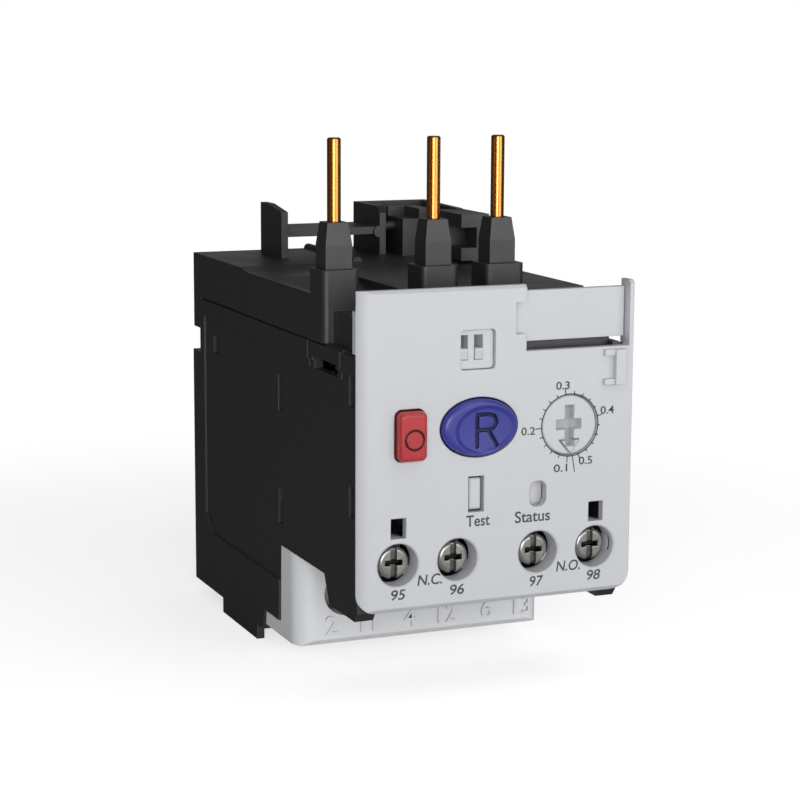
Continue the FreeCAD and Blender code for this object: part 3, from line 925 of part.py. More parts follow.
collar_trim = box("collar_trim", "body_width / 2 - wall - board_gap", FRONT, "0", "wall * 2",
                  "collar_depth + 1",
                  "terminal_height * 2")
front_cover = cut("front_cover_whole", fuse("cover_with_tabs", cover, flange, side_tab,
                                            loop_bar, *loop_arms), collar_trim, *corners)
label_plate = box("label_plate", "label_left - notch_depth + label_gap",
                  f"{FRONT} - cover_thick + label_recess", "label_bottom",
                  f"{RIGHT} - flange_thick - label_left + notch_depth - 2 * label_gap", "label_thick",
                  "label_top - label_bottom")


def oval_prism(name, x, y, z, half_width, half_height, length):
    """A solid of elliptical section along Y."""
    ring = bind(doc.addObject("Part::Ellipse", f"{name}_ring"), MajorRadius=half_width,
                MinorRadius=half_height)
    ring.Placement = FreeCAD.Placement(vector(), FreeCAD.Rotation(vector(1, 0, 0), 90))
    bind(ring, x=x, y=y, z=z)
    item = doc.addObject("Part::Extrusion", name)
    item.Base = ring
    item.DirMode = "Custom"
    item.Dir = vector(0, 1, 0)
    item.Solid = True
    return bind(item, LengthFwd=length)


def coil_spring(name, x, y, z, radius, length):
    """A compression spring along Y from a helix and a round wire."""
    item = body(name)
    coil = item.newObject("PartDesign::AdditiveHelix", f"{name}_coil")
    coil.Profile = sketch(item, f"{name}_wire", "YZ", circles=[("wire_radius", radius, "wire_radius")])
    coil.ReferenceAxis = (coil.Profile[0], ["H_Axis"])
    coil.Mode = "height-turns-angle"
    coil.setExpression("Height", link(f"{length} - 2 * wire_radius"))
    coil.setExpression("Turns", link("coil_turns"))
    return bind(item, x=x, y=y, z=z)


# Buttons: a cap through the cover, a lip behind it and a stem through the board.
LIP = f"{FRONT} + seat_gap"
reset_cap = oval_prism("reset_cap", "reset_middle", f"{PANEL} - reset_stand", "reset_height",
                       "reset_half_width",
                       "reset_half_height", "cover_thick + reset_stand + seat_gap + flange_plate / 2")
reset_lip = oval_prism("reset_lip", "reset_middle", LIP, "reset_height", "reset_half_width + flange_lip",
                       "reset_half_height + flange_lip", "flange_plate")
STEM_END = "board_setback + board_thick + 1"
reset_stem = cylinder("reset_stem", "y", "reset_middle", LIP, "reset_height", "reset_stem_radius", STEM_END)
dish = doc.addObject("Part::Ellipsoid", "reset_dish")
dish.Angle1, dish.Angle2, dish.Angle3 = -90, 90, 360
bind(dish, Radius1="reset_half_height * 1.15", Radius2="reset_half_width * 0.95", Radius3="dish_depth",
     x="reset_middle + dish_shift", y=f"{PANEL} - reset_stand", z="reset_height")
reset_button = cut("reset_button", fuse("reset_whole", reset_cap, reset_lip, reset_stem), dish)
stop_cap = body("stop_cap")
pad(stop_cap, "stop_cap_block", sketch(stop_cap, "stop_cap_plan", "XZ", [
    rectangle("stop_middle", "stop_height", "stop_half_width", "stop_half_height")],
    offset="body_depth - seat_gap - flange_plate / 2"),
    "cover_thick + stop_stand + seat_gap + flange_plate / 2")
round_edges(stop_cap, "stop_cap_rounding", "stop_round", lambda point, run: abs(run.y) > 1)
round_edges(stop_cap, "stop_cap_bevel", "bevel * 1.6", lambda point, run: point.y < -size("body_depth")
            - size("cover_thick") - size("stop_stand") + 0.01, "Chamfer")
stop_lip = box("stop_lip", "stop_middle - stop_half_width - flange_lip", LIP,
               "stop_height - stop_half_height - flange_lip",
               "2 * (stop_half_width + flange_lip)", "flange_plate", "2 * (stop_half_height + flange_lip)")
stop_stem = cylinder("stop_stem", "y", "stop_middle", LIP, "stop_height", "stop_stem_radius", STEM_END)
stop_button = fuse("stop_button", stop_cap, stop_lip, stop_stem)
test_cap = box("test_cap", "test_middle - test_half_width", f"{PANEL} + bevel",
               "test_height - test_half_height",
               "2 * test_half_width", "cover_thick", "2 * test_half_height")
test_lip = box("test_lip", "test_middle - test_half_width - flange_lip", LIP,
               "test_height - test_half_height - flange_lip",
               "2 * (test_half_width + flange_lip)", "flange_plate", "2 * (test_half_height + flange_lip)")
test_stem = cylinder("test_stem", "y", "test_middle", LIP, "test_height", "test_stem_radius",
                     "board_setback - test_travel - 1")
test_lever = fuse("test_lever", test_cap, test_lip, test_stem)
SPRING_Y = f"{LIP} + flange_plate"
SPRING_RUN = "board_setback - seat_gap - flange_plate"
springs = [coil_spring(f"{kind}_spring", f"{kind}_middle", SPRING_Y, f"{kind}_height",
                       f"{kind}_stem_radius + 2 * wire_radius", SPRING_RUN)
           for kind in ("reset", "stop", "test")]

# Setting dial with a cross slot and pointer, turning the potentiometer's shaft.
dial = body("setting_dial")
SHAFT_END = "board_setback + cover_thick - dial_recess - seat_gap"
DIAL_HALF = (("0", "0"), ("0", "dial_radius - bevel / 2"), ("bevel / 2", "dial_radius"),
             ("dial_thick", "dial_radius"), ("dial_thick", "dial_shaft_radius"),
             (SHAFT_END, "dial_shaft_radius"), (SHAFT_END, "0"))
dial_turned = dial.newObject("PartDesign::Revolution", "dial_turned")
dial_turned.Profile = sketch(dial, "dial_half", "YZ", [DIAL_HALF])
dial_turned.ReferenceAxis = (dial_turned.Profile[0], ["H_Axis"])
dial_turned.Angle = 360
for name, half_x, half_z in (("dial_cross_up", "cross_width / 2", "cross_length / 2"),
                             ("dial_cross_over", "cross_reach / 2", "cross_width / 2")):
    pocket(dial, name, sketch(dial, f"{name}_plan", "XZ", [rectangle("0", "0", half_x, half_z)],
                              offset="0.5"),
           "0.5 + cross_depth")
ARROW = (("-arrow_half", "-arrow_base"), ("arrow_line - arrow_half", "-arrow_base"),
         ("0", "-dial_radius + bevel"),
         ("-arrow_tip", "-dial_radius + bevel"))
pocket(dial, "dial_arrow", sketch(dial, "arrow_plan", "XZ", [ARROW], offset="0.5"), "0.5 + bevel")
bind(dial, x="dial_middle", y=f"{PANEL} + dial_recess", z="dial_height")
POT_Y = f"{BOARD_Y} - pot_length"
potentiometer = cut("potentiometer", cylinder("pot_case", "y", "dial_middle", POT_Y, "dial_height",
                                              "pot_radius", "pot_length"),
                    cylinder("pot_bore", "y", "dial_middle", f"{POT_Y} - 1", "dial_height",
                             "dial_shaft_radius + running_gap", "pot_length + 2"))

# Two-way switch: a case with two slots, and a lever in each.
switch_case = body("switch_outside")
CASE_PLAN = [rectangle("switch_middle", "switch_height", "switch_half_width", "switch_half_height")]
pad(switch_case, "switch_block", sketch(switch_case, "switch_plan", "XZ", CASE_PLAN,
                                        offset="body_depth - board_setback"),
    "board_setback + cover_thick / 2")
round_edges(switch_case, "switch_rounding_outside", "switch_round", lambda point, run: abs(run.y) > 1)
LEVERS = ("switch_middle - lever_offset", "switch_middle - lever_offset + lever_spacing")
slots = []
levers = []
for number, x in enumerate(LEVERS, start=1):
    slots.append(box(f"switch_slot_{number}", f"{x} - lever_width / 2 - lever_gap", PANEL,
                     "lever_rest - lever_height / 2 - lever_gap", "lever_width + 2 * lever_gap",
                     "cover_thick / 2 + lever_depth + lever_gap",
                     "lever_height + lever_travel + 2 * lever_gap"))
    levers.append(box(f"switch_lever_{number}", f"{x} - lever_width / 2", f"{PANEL} + lever_recess",
                      "lever_rest - lever_height / 2",
                      "lever_width", "cover_thick / 2 + lever_depth - lever_recess", "lever_height"))
switch_body = cut("switch_body", switch_case, *slots)

PARTS = {
    "base_housing": base, "upper_housing": upper_housing, "contactor_latch": latch_whole,
    "latch_core": latch_core, "front_cover": front_cover, "label_plate": label_plate,
    "terminal_block": block, "front_board": front_board, "main_board": main_board,
    "reset_button": reset_button, "stop_button": stop_button, "test_lever": test_lever,
    "reset_spring": springs[0], "stop_spring": springs[1], "test_spring": springs[2],
    "setting_dial": dial, "potentiometer": potentiometer, "switch_body": switch_body,
    "contact_carrier": contact_carrier, "status_flag": status_flag, "nc_bridge": bridges[0],
    "no_bridge": bridges[1], "relay_armature": armature, "relay_yoke": relay_yoke,
    "relay_coil": relay_coil,
}
for stem, items in (("pin_sleeve", sleeves), ("phase_conductor", conductors), ("load_tab", tabs),
                    ("load_screw", load_screws),
                    ("load_clamp", load_cages), ("aux_screw", aux_screws), ("aux_clamp", aux_cages),
                    ("contact_strap", straps), ("switch_lever", levers), ("transformer_winding", windings),
                    ("transformer_core", cores)):
    for number, item in enumerate(items, start=1):
        PARTS[f"{stem}_{number}"] = item

doc.recompute()
for item in doc.Objects:
    if "Invalid" in item.State or "Error" in item.State:
        raise RuntimeError(f"{item.Name} failed: {item.State}")
for name, item in PARTS.items():
    item.Label = name
    shape = item.Shape
    if shape.isNull() or not shape.isValid() or len(shape.Solids) != 1:
        raise RuntimeError(f"{name} is not one valid solid ({len(shape.Solids)} solids)")

os.makedirs("parts", exist_ok=True)
for name, item in PARTS.items():
    item.Shape.exportStep(f"parts/{name}.step")
print(len(PARTS), "pieces written")
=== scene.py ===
"""Looks of an electronic overload relay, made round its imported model.

Lengths in the mesh code are millimetres; sliders, lights and the camera are in metres."""

import json
import math

import bmesh
import bpy
import numpy as np
from bpy.props import FloatProperty, FloatVectorProperty, IntProperty, PointerProperty
from bpy.types import Operator, Panel, PropertyGroup
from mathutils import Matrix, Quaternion, Vector


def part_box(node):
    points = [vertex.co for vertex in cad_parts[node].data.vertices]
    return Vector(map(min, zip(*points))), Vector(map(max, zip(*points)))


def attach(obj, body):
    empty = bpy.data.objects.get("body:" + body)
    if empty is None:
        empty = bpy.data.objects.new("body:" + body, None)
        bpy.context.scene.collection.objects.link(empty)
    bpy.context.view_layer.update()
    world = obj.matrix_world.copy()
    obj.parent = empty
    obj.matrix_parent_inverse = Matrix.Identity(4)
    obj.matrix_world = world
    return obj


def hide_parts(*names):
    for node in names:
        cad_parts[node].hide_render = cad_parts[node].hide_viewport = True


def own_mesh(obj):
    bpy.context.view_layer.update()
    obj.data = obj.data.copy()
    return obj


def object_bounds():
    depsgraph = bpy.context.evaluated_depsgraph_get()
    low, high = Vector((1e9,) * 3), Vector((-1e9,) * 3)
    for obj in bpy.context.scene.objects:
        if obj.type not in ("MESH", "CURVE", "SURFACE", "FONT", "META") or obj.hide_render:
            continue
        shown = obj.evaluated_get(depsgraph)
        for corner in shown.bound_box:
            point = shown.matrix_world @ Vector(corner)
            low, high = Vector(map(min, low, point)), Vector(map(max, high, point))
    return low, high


bl_info = {
    "name": "Overload Relay Looks",
    "version": (1, 0, 0),
    "blender": (4, 5, 0),
    "location": "View3D > Sidebar > Relay",
    "description": "Materials, prints, knobs and screws of an electronic overload relay",
    "category": "Object",
}

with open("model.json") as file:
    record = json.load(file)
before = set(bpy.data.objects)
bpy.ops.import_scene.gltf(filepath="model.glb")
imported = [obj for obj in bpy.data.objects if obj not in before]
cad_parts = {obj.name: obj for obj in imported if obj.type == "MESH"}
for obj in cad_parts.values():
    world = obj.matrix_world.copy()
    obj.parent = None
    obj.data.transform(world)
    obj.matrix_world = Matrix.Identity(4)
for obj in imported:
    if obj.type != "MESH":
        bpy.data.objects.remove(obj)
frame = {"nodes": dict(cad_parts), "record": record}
CAD_BOX = [list(corner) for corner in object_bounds()]
MM = 0.001

# How far the dial lies behind the cover's face, and how far a button's lip goes past its cap.
DIAL_RECESS = 0.15
LIP = 0.7

# Where most values of a noise texture lie.
NOISE_LOW, NOISE_HIGH = 0.3, 0.7


def middle(node):
    """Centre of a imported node's box in millimetres."""
    low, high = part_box(node)
    return np.array((low + high) / 2) / MM


def reach(node):
    """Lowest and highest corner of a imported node's box in millimetres."""
    low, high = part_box(node)
    return np.array(low) / MM, np.array(high) / MM


PANEL_Y = reach("setting_dial")[0][1] - DIAL_RECESS


def colour(name, text, default):
    """A colour that the user may change."""
    return FloatVectorProperty(name=name, description=text, subtype="COLOR", size=3, min=0, max=1,
                               default=default)


def length_slider(name, text, default, high, low=0.0):
    """A small length."""
    return FloatProperty(name=name, description=text, default=default, unit="LENGTH", min=low, max=high)


def power_slider(name, text, default):
    """The power of a light."""
    return FloatProperty(name=name, description=text, default=default, unit="POWER", min=0)


def share_slider(name, text, default):
    """A brightness between black and white."""
    return FloatProperty(name=name, description=text, default=default, min=0, max=1)


def angle_slider(name, text, degrees):
    """An angle, given in degrees."""
    return FloatProperty(name=name, description=text, default=math.radians(degrees), subtype="ANGLE")


class RelayPaint(PropertyGroup):
    black: colour("Black plastic", "Housing, latch and sleeves", (0.020, 0.020, 0.019))
    grey: colour("Cover plastic", "Cover, label plate, dial, test slider, levers", (0.570, 0.584, 0.610))
    white: colour("White plastic", "Load terminal block", (0.860, 0.872, 0.892))
    blue: colour("Reset button", "Blue plastic of the oval button", (0.044, 0.047, 0.280))
    red: colour("Stop button", "Red plastic of the square button", (0.440, 0.036, 0.040))
    ink: colour("Ink", "Printed numbers, ticks and signs", (0.075, 0.075, 0.080))
    dark: colour("Dark plastic", "Switch case, carrier and potentiometer", (0.060, 0.060, 0.062))
    board: colour("Circuit board", "Solder resist", (0.030, 0.120, 0.055))
    copper: colour("Copper", "Line pins and load tabs", (0.720, 0.290, 0.070))
    steel: colour("Plated steel", "Screws and clamps", (0.560, 0.545, 0.515))
    brass: colour("Brass", "Contact parts", (0.800, 0.620, 0.300))
    iron: colour("Iron", "Yoke, armature and cores", (0.330, 0.330, 0.340))
    wire: colour("Winding wire", "Enamelled wire of coils", (0.480, 0.190, 0.060))


class RelayFinish(PropertyGroup):
    edge: length_slider("Edge rounding", "How softly moulded edges catch the light", 0.00018, 0.001)
    grain: FloatProperty(name="Grain size", description="Grains in a metre of moulded surface", default=5200,
                         min=100)
    grain_depth: length_slider("Grain depth", "Height of the moulded grain", 0.000012, 0.001)
    print_height: length_slider("Print height", "How far the ink stands off the cover", 0.00002, 0.0002,
                                low=0.000005)
    emboss: length_slider("Number height", "How far the block's numbers stand off it", 0.0004, 0.001)
    cap_cells: IntProperty(name="Cap cells", description="Grid cells across a button, dial or screw head",
                           default=150, min=20, max=300)


class RelayStudio(PropertyGroup):
    key: power_slider("Front light", "Power of the large light in front", 0.66)
    fill: power_slider("Camera light", "Power of the light beside the camera", 1.25)
    near: power_slider("Near light", "Power of the small light over the front", 0.10)
    side: power_slider("Left light", "Power of the light on the left", 0.05)
    rim: power_slider("Top light", "Power of the light above", 0.02)
    room: share_slider("Room light", "Brightness of the room on the object", 0.20)
    flags: share_slider("Dark screens", "Brightness that shiny parts mirror beside and in front", 0.05)
    mirrored: share_slider("Mirrored floor", "Grey of the floor that shiny parts mirror", 0.25)
    lens: FloatProperty(name="Lens", description="Focal length", default=97.08, subtype="DISTANCE_CAMERA",
                        min=10)
    azimuth: angle_slider("Azimuth", "Side from which the camera looks", -22.79)
    elevation: angle_slider("Elevation", "Height from which the camera looks", 9.835)
    roll: angle_slider("Roll", "Turn about the line of sight", 0.268)
    place: FloatVectorProperty(name="Camera place", description="Where the camera stands",
                               subtype="TRANSLATION", size=3, default=(-0.13582, -0.36639, 0.08594))


# Materials


def shader_group(name, inputs, outputs):
    """A new shader node group with named sockets, with its input and output nodes."""
    tree = bpy.data.node_groups.new(name, "ShaderNodeTree")
    for side, sockets in (("INPUT", inputs), ("OUTPUT", outputs)):
        for socket, kind in sockets:
            tree.interface.new_socket(name=socket, in_out=side, socket_type=f"NodeSocket{kind}")
    return tree, tree.nodes.new("NodeGroupInput"), tree.nodes.new("NodeGroupOutput")


def node(tree, kind, **settings):
    """Add a node; a setting named after an input sets that input, others set the node's own property."""
    made = tree.nodes.new(f"ShaderNode{kind}")
    for key, value in settings.items():
        name = key.replace("_", " ").title()
        if name in made.inputs:
            made.inputs[name].default_value = value
        else:
            setattr(made, key, value)
    return made


def gloss_range(tree, start, value):
    """Spread a noise over the group's Low and High; returns the socket of the result."""
    gloss = node(tree, "MapRange", from_min=NOISE_LOW, from_max=NOISE_HIGH)
    tree.links.new(value, gloss.inputs["Value"])
    tree.links.new(start.outputs["Low"], gloss.inputs["To Min"])
    tree.links.new(start.outputs["High"], gloss.inputs["To Max"])
    return gloss.outputs["Result"]


def grain_group():
    """Moulded or cast skin: fine noise for height, a slower one for tone and gloss."""
    tree, start, end = shader_group("skin_grain", (("Scale", "Float"), ("Low", "Float"), ("High", "Float")),
                                    (("Roughness", "Float"), ("Tone", "Float"), ("Height", "Float")))
    link = tree.links.new
    place = node(tree, "TexCoord")
    fine = node(tree, "TexNoise", detail=3.0, roughness=0.6)
    slow = node(tree, "TexNoise", scale=160.0, detail=4.0, roughness=0.55)
    link(place.outputs["Object"], fine.inputs["Vector"])
    link(place.outputs["Object"], slow.inputs["Vector"])
    link(start.outputs["Scale"], fine.inputs["Scale"])
    link(gloss_range(tree, start, slow.outputs["Fac"]), end.inputs["Roughness"])
    link(slow.outputs["Fac"], end.inputs["Tone"])
    link(fine.outputs["Fac"], end.inputs["Height"])
    return tree


def edge_group():
    """Worn edges: where the rounded normal leaves the surface's own, broken up by noise."""
    tree, start, end = shader_group("edge_wear", (("Colour", "Color"), ("Worn Colour", "Color"),
                                                  ("Rounded", "Vector"), ("Amount", "Float"),
                                                  ("Tone", "Float")), (("Colour", "Color"),))
    link = tree.links.new
    own = node(tree, "NewGeometry")
    turn = node(tree, "VectorMath", operation="DOT_PRODUCT")
    link(own.outputs["Normal"], turn.inputs[0])
    link(start.outputs["Rounded"], turn.inputs[1])
    edge = node(tree, "MapRange", from_min=0.995, from_max=0.80)
    link(turn.outputs["Value"], edge.inputs["Value"])
    broken = node(tree, "Math", operation="MULTIPLY")
    link(edge.outputs["Result"], broken.inputs[0])
    link(start.outputs["Tone"], broken.inputs[1])
    share = node(tree, "Math", operation="MULTIPLY", use_clamp=True)
    link(broken.outputs["Value"], share.inputs[0])
    link(start.outputs["Amount"], share.inputs[1])
    mix = node(tree, "Mix", data_type="RGBA")
    link(share.outputs["Value"], mix.inputs["Factor"])
    link(start.outputs["Colour"], mix.inputs["A"])
    link(start.outputs["Worn Colour"], mix.inputs["B"])
    link(mix.outputs["Result"], end.inputs["Colour"])
    return tree


def brush_group():
    """Drawn or turned metal: noise stretched along one axis, for height and gloss."""
    tree, start, end = shader_group("metal_lines",
                                    (("Stretch", "Vector"), ("Low", "Float"), ("High", "Float")),
                                    (("Roughness", "Float"), ("Tone", "Float"), ("Height", "Float")))
    link = tree.links.new
    place = node(tree, "TexCoord")
    along = node(tree, "Mapping")
    link(place.outputs["Object"], along.inputs["Vector"])
    link(start.outputs["Stretch"], along.inputs["Scale"])
    lines = node(tree, "TexNoise", scale=1.0, detail=5.0, roughness=0.65)
    link(along.outputs["Vector"], lines.inputs["Vector"])
    spots = node(tree, "TexNoise", scale=420.0, detail=3.0)
    link(place.outputs["Object"], spots.inputs["Vector"])
    link(gloss_range(tree, start, lines.outputs["Fac"]), end.inputs["Roughness"])
    link(spots.outputs["Fac"], end.inputs["Tone"])
    link(lines.outputs["Fac"], end.inputs["Height"])
    return tree


def shared_group(name, maker):
    """The named node group, made at its first use."""
    return bpy.data.node_groups.get(name) or maker()


def tinted(tree, colour_value, tone, spread):
    """A colour that varies a little with a tone between 0 and 1; returns its socket."""
    ramp = node(tree, "ValToRGB")
    stops = ((NOISE_LOW, 1 - spread), (NOISE_HIGH, 1 + spread))
    for element, (position, share) in zip(ramp.color_ramp.elements, stops):
        element.position = position
        element.color = [min(1, c * share) for c in colour_value] + [1]
    tree.links.new(tone, ramp.inputs["Fac"])
    return ramp.outputs["Color"]


def finish_material(name, tint, skin, height_scale, spread, worn, wear, metallic=0.0, specular=0.5,
                    painted=None):
    """Join a skin group, edge wear, soft edges and bump into one principled material."""
    material = bpy.data.materials.new(f"relay_{name}")
    material.use_nodes = True
    tree = material.node_tree
    tree.nodes.clear()
    link = tree.links.new
    finish = bpy.context.scene.relay_finish
    out = node(tree, "OutputMaterial")
    shader = node(tree, "BsdfPrincipled", metallic=metallic)
    shader.inputs["Specular IOR Level"].default_value = specular
    link(shader.outputs["BSDF"], out.inputs["Surface"])
    surface = tree.nodes.new("ShaderNodeGroup")
    surface.node_tree = shared_group(*skin["group"])
    for socket, value in skin["values"].items():
        surface.inputs[socket].default_value = value
    soft = node(tree, "Bevel", samples=6, radius=finish.edge)
    bump = node(tree, "Bump", strength=1.0, distance=height_scale)
    link(surface.outputs["Height"], bump.inputs["Height"])
    link(soft.outputs["Normal"], bump.inputs["Normal"])
    link(bump.outputs["Normal"], shader.inputs["Normal"])
    link(surface.outputs["Roughness"], shader.inputs["Roughness"])
    edge = tree.nodes.new("ShaderNodeGroup")
    edge.node_tree = shared_group("edge_wear", edge_group)
    edge.inputs["Worn Colour"].default_value = list(worn) + [1]
    edge.inputs["Amount"].default_value = wear
    link(tinted(tree, tint, surface.outputs["Tone"], spread), edge.inputs["Colour"])
    link(soft.outputs["Normal"], edge.inputs["Rounded"])
    link(surface.outputs["Tone"], edge.inputs["Tone"])
    # Where the mesh's paint attribute says, the painted colour is mixed in: marks, and painted shade in
    # slots, in gaps round caps and where raised numbers meet their block.
    if painted is None:
        link(edge.outputs["Colour"], shader.inputs["Base Color"])
    else:
        mark_and_shade_share = node(tree, "Attribute", attribute_name="paint")
        cover = node(tree, "Mix", data_type="RGBA")
        cover.inputs["B"].default_value = list(painted) + [1]
        link(mark_and_shade_share.outputs["Fac"], cover.inputs["Factor"])
        link(edge.outputs["Colour"], cover.inputs["A"])
        link(cover.outputs["Result"], shader.inputs["Base Color"])
    PAINTS[name] = material


def plastic(name, tint, low, high, worn, wear=0.6, specular=0.5, grain=1.0, spread=0.04, painted=None):
    """Moulded plastic with fine grain, a slow change of gloss and paler edges."""
    finish = bpy.context.scene.relay_finish
    values = {"Scale": finish.grain * grain, "Low": low, "High": high}
    skin = {"group": ("skin_grain", grain_group), "values": values}
    finish_material(name, tint, skin, finish.grain_depth, spread, worn, wear, specular=specular,
                    painted=painted)


def metal(name, tint, low, high, stretch, worn, wear=0.5, depth=0.000006, spread=0.08, painted=None):
    """Bare or plated metal with lines along one axis and brighter edges."""
    values = {"Stretch": stretch, "Low": low, "High": high}
    skin = {"group": ("metal_lines", brush_group), "values": values}
    finish_material(name, tint, skin, depth, spread, worn, wear, metallic=1.0, painted=painted)


def lighter(tint, share):
    """A colour moved towards white by a share."""
    return [c + (1 - c) * share for c in tint]


PAINTS = {}


def materials():
    """The relay's materials by the name of the record's slot, made at first use."""
    if PAINTS:
        return PAINTS
    paint = bpy.context.scene.relay_paint
    plastic("black_plastic", paint.black, 0.44, 0.54, lighter(paint.black, 0.10), 0.8, specular=1.0)
    # The grey's painted colour is painted shade: in the dial's cross slot, round its raised arrow and on the
    # test slider's lip in its gap.
    plastic("grey_plastic", paint.grey, 0.38, 0.48, lighter(paint.grey, 0.4), 0.6, grain=0.8, spread=0.008,
            painted=(0.050, 0.052, 0.056))
    # The white's painted colour is painted shade where the block's raised numbers meet it.
    plastic("white_plastic", paint.white, 0.36, 0.46, lighter(paint.white, 0.4), 0.6, grain=0.8, spread=0.008,
            painted=(0.030, 0.031, 0.034))
    # The blue's painted colour darkens the engraved letter, and is painted shadow on the cap's wall and lip
    # in the gap round the button.
    plastic("blue_plastic", paint.blue, 0.25, 0.34, lighter(paint.blue, 0.10), 0.5, grain=0.6, spread=0.03,
            painted=(0.006, 0.006, 0.045))
    # The red's painted colour darkens the engraved ring, and is painted shadow on the cap's wall and lip in
    # the gap round the button.
    plastic("red_plastic", paint.red, 0.25, 0.34, lighter(paint.red, 0.08), 0.5, grain=0.6, spread=0.03,
            painted=(0.020, 0.002, 0.003))
    plastic("dark_plastic", paint.dark, 0.42, 0.55, lighter(paint.dark, 0.12), 0.6)
    plastic("flag_plastic", lighter(paint.grey, 0.5), 0.40, 0.50, lighter(paint.grey, 0.3), 0.4,
            spread=0.01)
    plastic("circuit_board", paint.board, 0.30, 0.42, (0.45, 0.42, 0.25), 0.9, grain=0.4, spread=0.15)
    plastic("ink", paint.ink, 0.55, 0.70, lighter(paint.ink, 0.05), 0.1, spread=0.10)
    metal("copper", paint.copper, 0.20, 0.27, (700.0, 700.0, 60.0), lighter(paint.copper, 0.1),
          depth=0.0000015, spread=0.04)
    metal("copper_wire", paint.wire, 0.25, 0.40, (300.0, 300.0, 5200.0), lighter(paint.wire, 0.2),
          depth=0.00006)
    metal("brass", paint.brass, 0.22, 0.36, (900.0, 160.0, 900.0), lighter(paint.brass, 0.3))
    metal("iron", paint.iron, 0.40, 0.55, (600.0, 600.0, 600.0), lighter(paint.iron, 0.2))
    # The steel's painted colour is painted shade in the screws' slots.
    metal("plated_steel", paint.steel, 0.26, 0.40, (900.0, 2200.0, 220.0), lighter(paint.steel, 0.3),
          painted=(0.030, 0.029, 0.027))
    metal("spring_steel", paint.iron, 0.22, 0.34, (400.0, 2000.0, 400.0), lighter(paint.iron, 0.3))
    return PAINTS


# Surfaces


def disc_grid(count, half_x, half_z):
    """A square grid pulled into an ellipse: a u sqrt(1 - v2 / 2) across and b v sqrt(1 - u2 / 2) up."""
    line = np.linspace(-1, 1, count)
    u, v = np.meshgrid(line, line)
    return u * np.sqrt(1 - v * v / 2) * half_x, v * np.sqrt(1 - u * u / 2) * half_z


def core_of(x, z, half_x, half_z, corner):
    """The nearest points of the rectangle between the centres of an outline's round corners."""
    return np.clip(x, corner - half_x, half_x - corner), np.clip(z, corner - half_z, half_z - corner)


def plate_grid(count, half_x, half_z, corner):
    """A square grid whose every ring is a rectangle with round corners: ring t is t times the border."""
    line = np.linspace(-1, 1, count)
    u, v = np.meshgrid(line, line)
    ring = np.maximum(np.abs(u), np.abs(v))
    safe = np.where(ring > 0, ring, 1)
    x, z = u / safe * half_x, v / safe * half_z
    core_x, core_z = core_of(x, z, half_x, half_z, corner)
    away = np.maximum(np.hypot(x - core_x, z - core_z), 1e-9)
    pull = np.minimum(1, corner / away)
    return ring * (core_x + (x - core_x) * pull), ring * (core_z + (z - core_z) * pull)


def grid_faces(rows, columns, first=0):
    """Quads of a grid of points stored row by row."""
    index = np.arange(rows * columns).reshape(rows, columns) + first
    return np.stack((index[:-1, :-1], index[:-1, 1:], index[1:, 1:], index[1:, :-1]), -1).reshape(-1, 4)


def rim_of(count):
    """Indices round the border of a square grid."""
    index = np.arange(count * count).reshape(count, count)
    return np.concatenate((index[0, :-1], index[:-1, -1], index[-1, :0:-1], index[:0:-1, 0]))


def smooth_step(value, low, high):
    """0 below low, 1 above high, and 3t2 - 2t3 between them."""
    t = np.clip((value - low) / (high - low), 0, 1)
    return t * t * (3 - 2 * t)


def quarter_round(t):
    """Height of a quarter circle: 1 up to t = 0, and sqrt(1 - t2) from there to 0 at t = 1."""
    return np.sqrt(np.clip(1 - np.clip(t, 0, 1) ** 2, 0, 1))


def stroke_distance(x, z, points):
    """Distance from each grid point to the nearest segment of a line through the points."""
    best = np.full(x.shape, np.inf)
    for (ax, az), (bx, bz) in zip(points[:-1], points[1:]):
        dx, dz = bx - ax, bz - az
        t = np.clip(((x - ax) * dx + (z - az) * dz) / (dx * dx + dz * dz), 0, 1)
        best = np.minimum(best, np.hypot(x - ax - t * dx, z - az - t * dz))
    return best


def slab(x, z, centre, half_x, half_z, soft=0.05):
    """1 inside a rectangle and 0 outside it, with a short slope at its border."""
    away = np.maximum(np.abs(x - centre[0]) - half_x, np.abs(z - centre[1]) - half_z)
    return 1 - smooth_step(away, -soft, soft)


def topped_prism(centre, grid, top, rings, paint=None):
    """A solid along Y: its front is a height field over a grid, its wall is the grid's border carried back.

    top(x, z) gives how far the front stands out, and paint(x, z) how dark it is painted, for marks and for
    painted shade. Each ring gives a growth in millimetres, a share of the border's size, a place along Y and,
    where it is dark, its share of painted shade."""
    x, z = grid
    count = len(x)
    front = np.stack((centre[0] + x, centre[1] - top(x, z), centre[2] + z), -1).reshape(-1, 3)
    rim = rim_of(count)
    edge = np.stack((x.ravel()[rim], z.ravel()[rim]), -1)
    outward = edge / np.hypot(edge[:, 0], edge[:, 1])[:, None]
    walls = [np.stack((centre[0] + edge[:, 0] * sx + outward[:, 0] * grow, np.full(len(rim), y),
                       centre[2] + edge[:, 1] * sx + outward[:, 1] * grow), -1) for grow, sx, y, *_ in rings]
    points = np.concatenate((front, *walls, [[centre[0], rings[-1][2], centre[2]]]))
    faces = [grid_faces(count, count)]
    loops = np.concatenate((rim[None], len(front) + np.arange(len(rim) * len(rings)).reshape(len(rings), -1)))
    nexts = np.roll(loops, -1, axis=1)
    faces.append(np.stack((loops[:-1], loops[1:], nexts[1:], nexts[:-1]), -1).reshape(-1, 4))
    last = np.full(len(rim), len(points) - 1)
    closing = np.stack((loops[-1], last, nexts[-1]), -1)
    mark_and_shade = np.zeros(len(points))
    if paint:
        mark_and_shade[:len(front)] = paint(x, z).ravel()
    # A ring's share darkens the wall behind a cap: painted shadow in the gap round it.
    for number, ring in enumerate(rings):
        start = len(front) + number * len(rim)
        mark_and_shade[start:start + len(rim)] = sum(ring[3:])
    return points, [*np.concatenate(faces).tolist(), *closing.tolist()], mark_and_shade


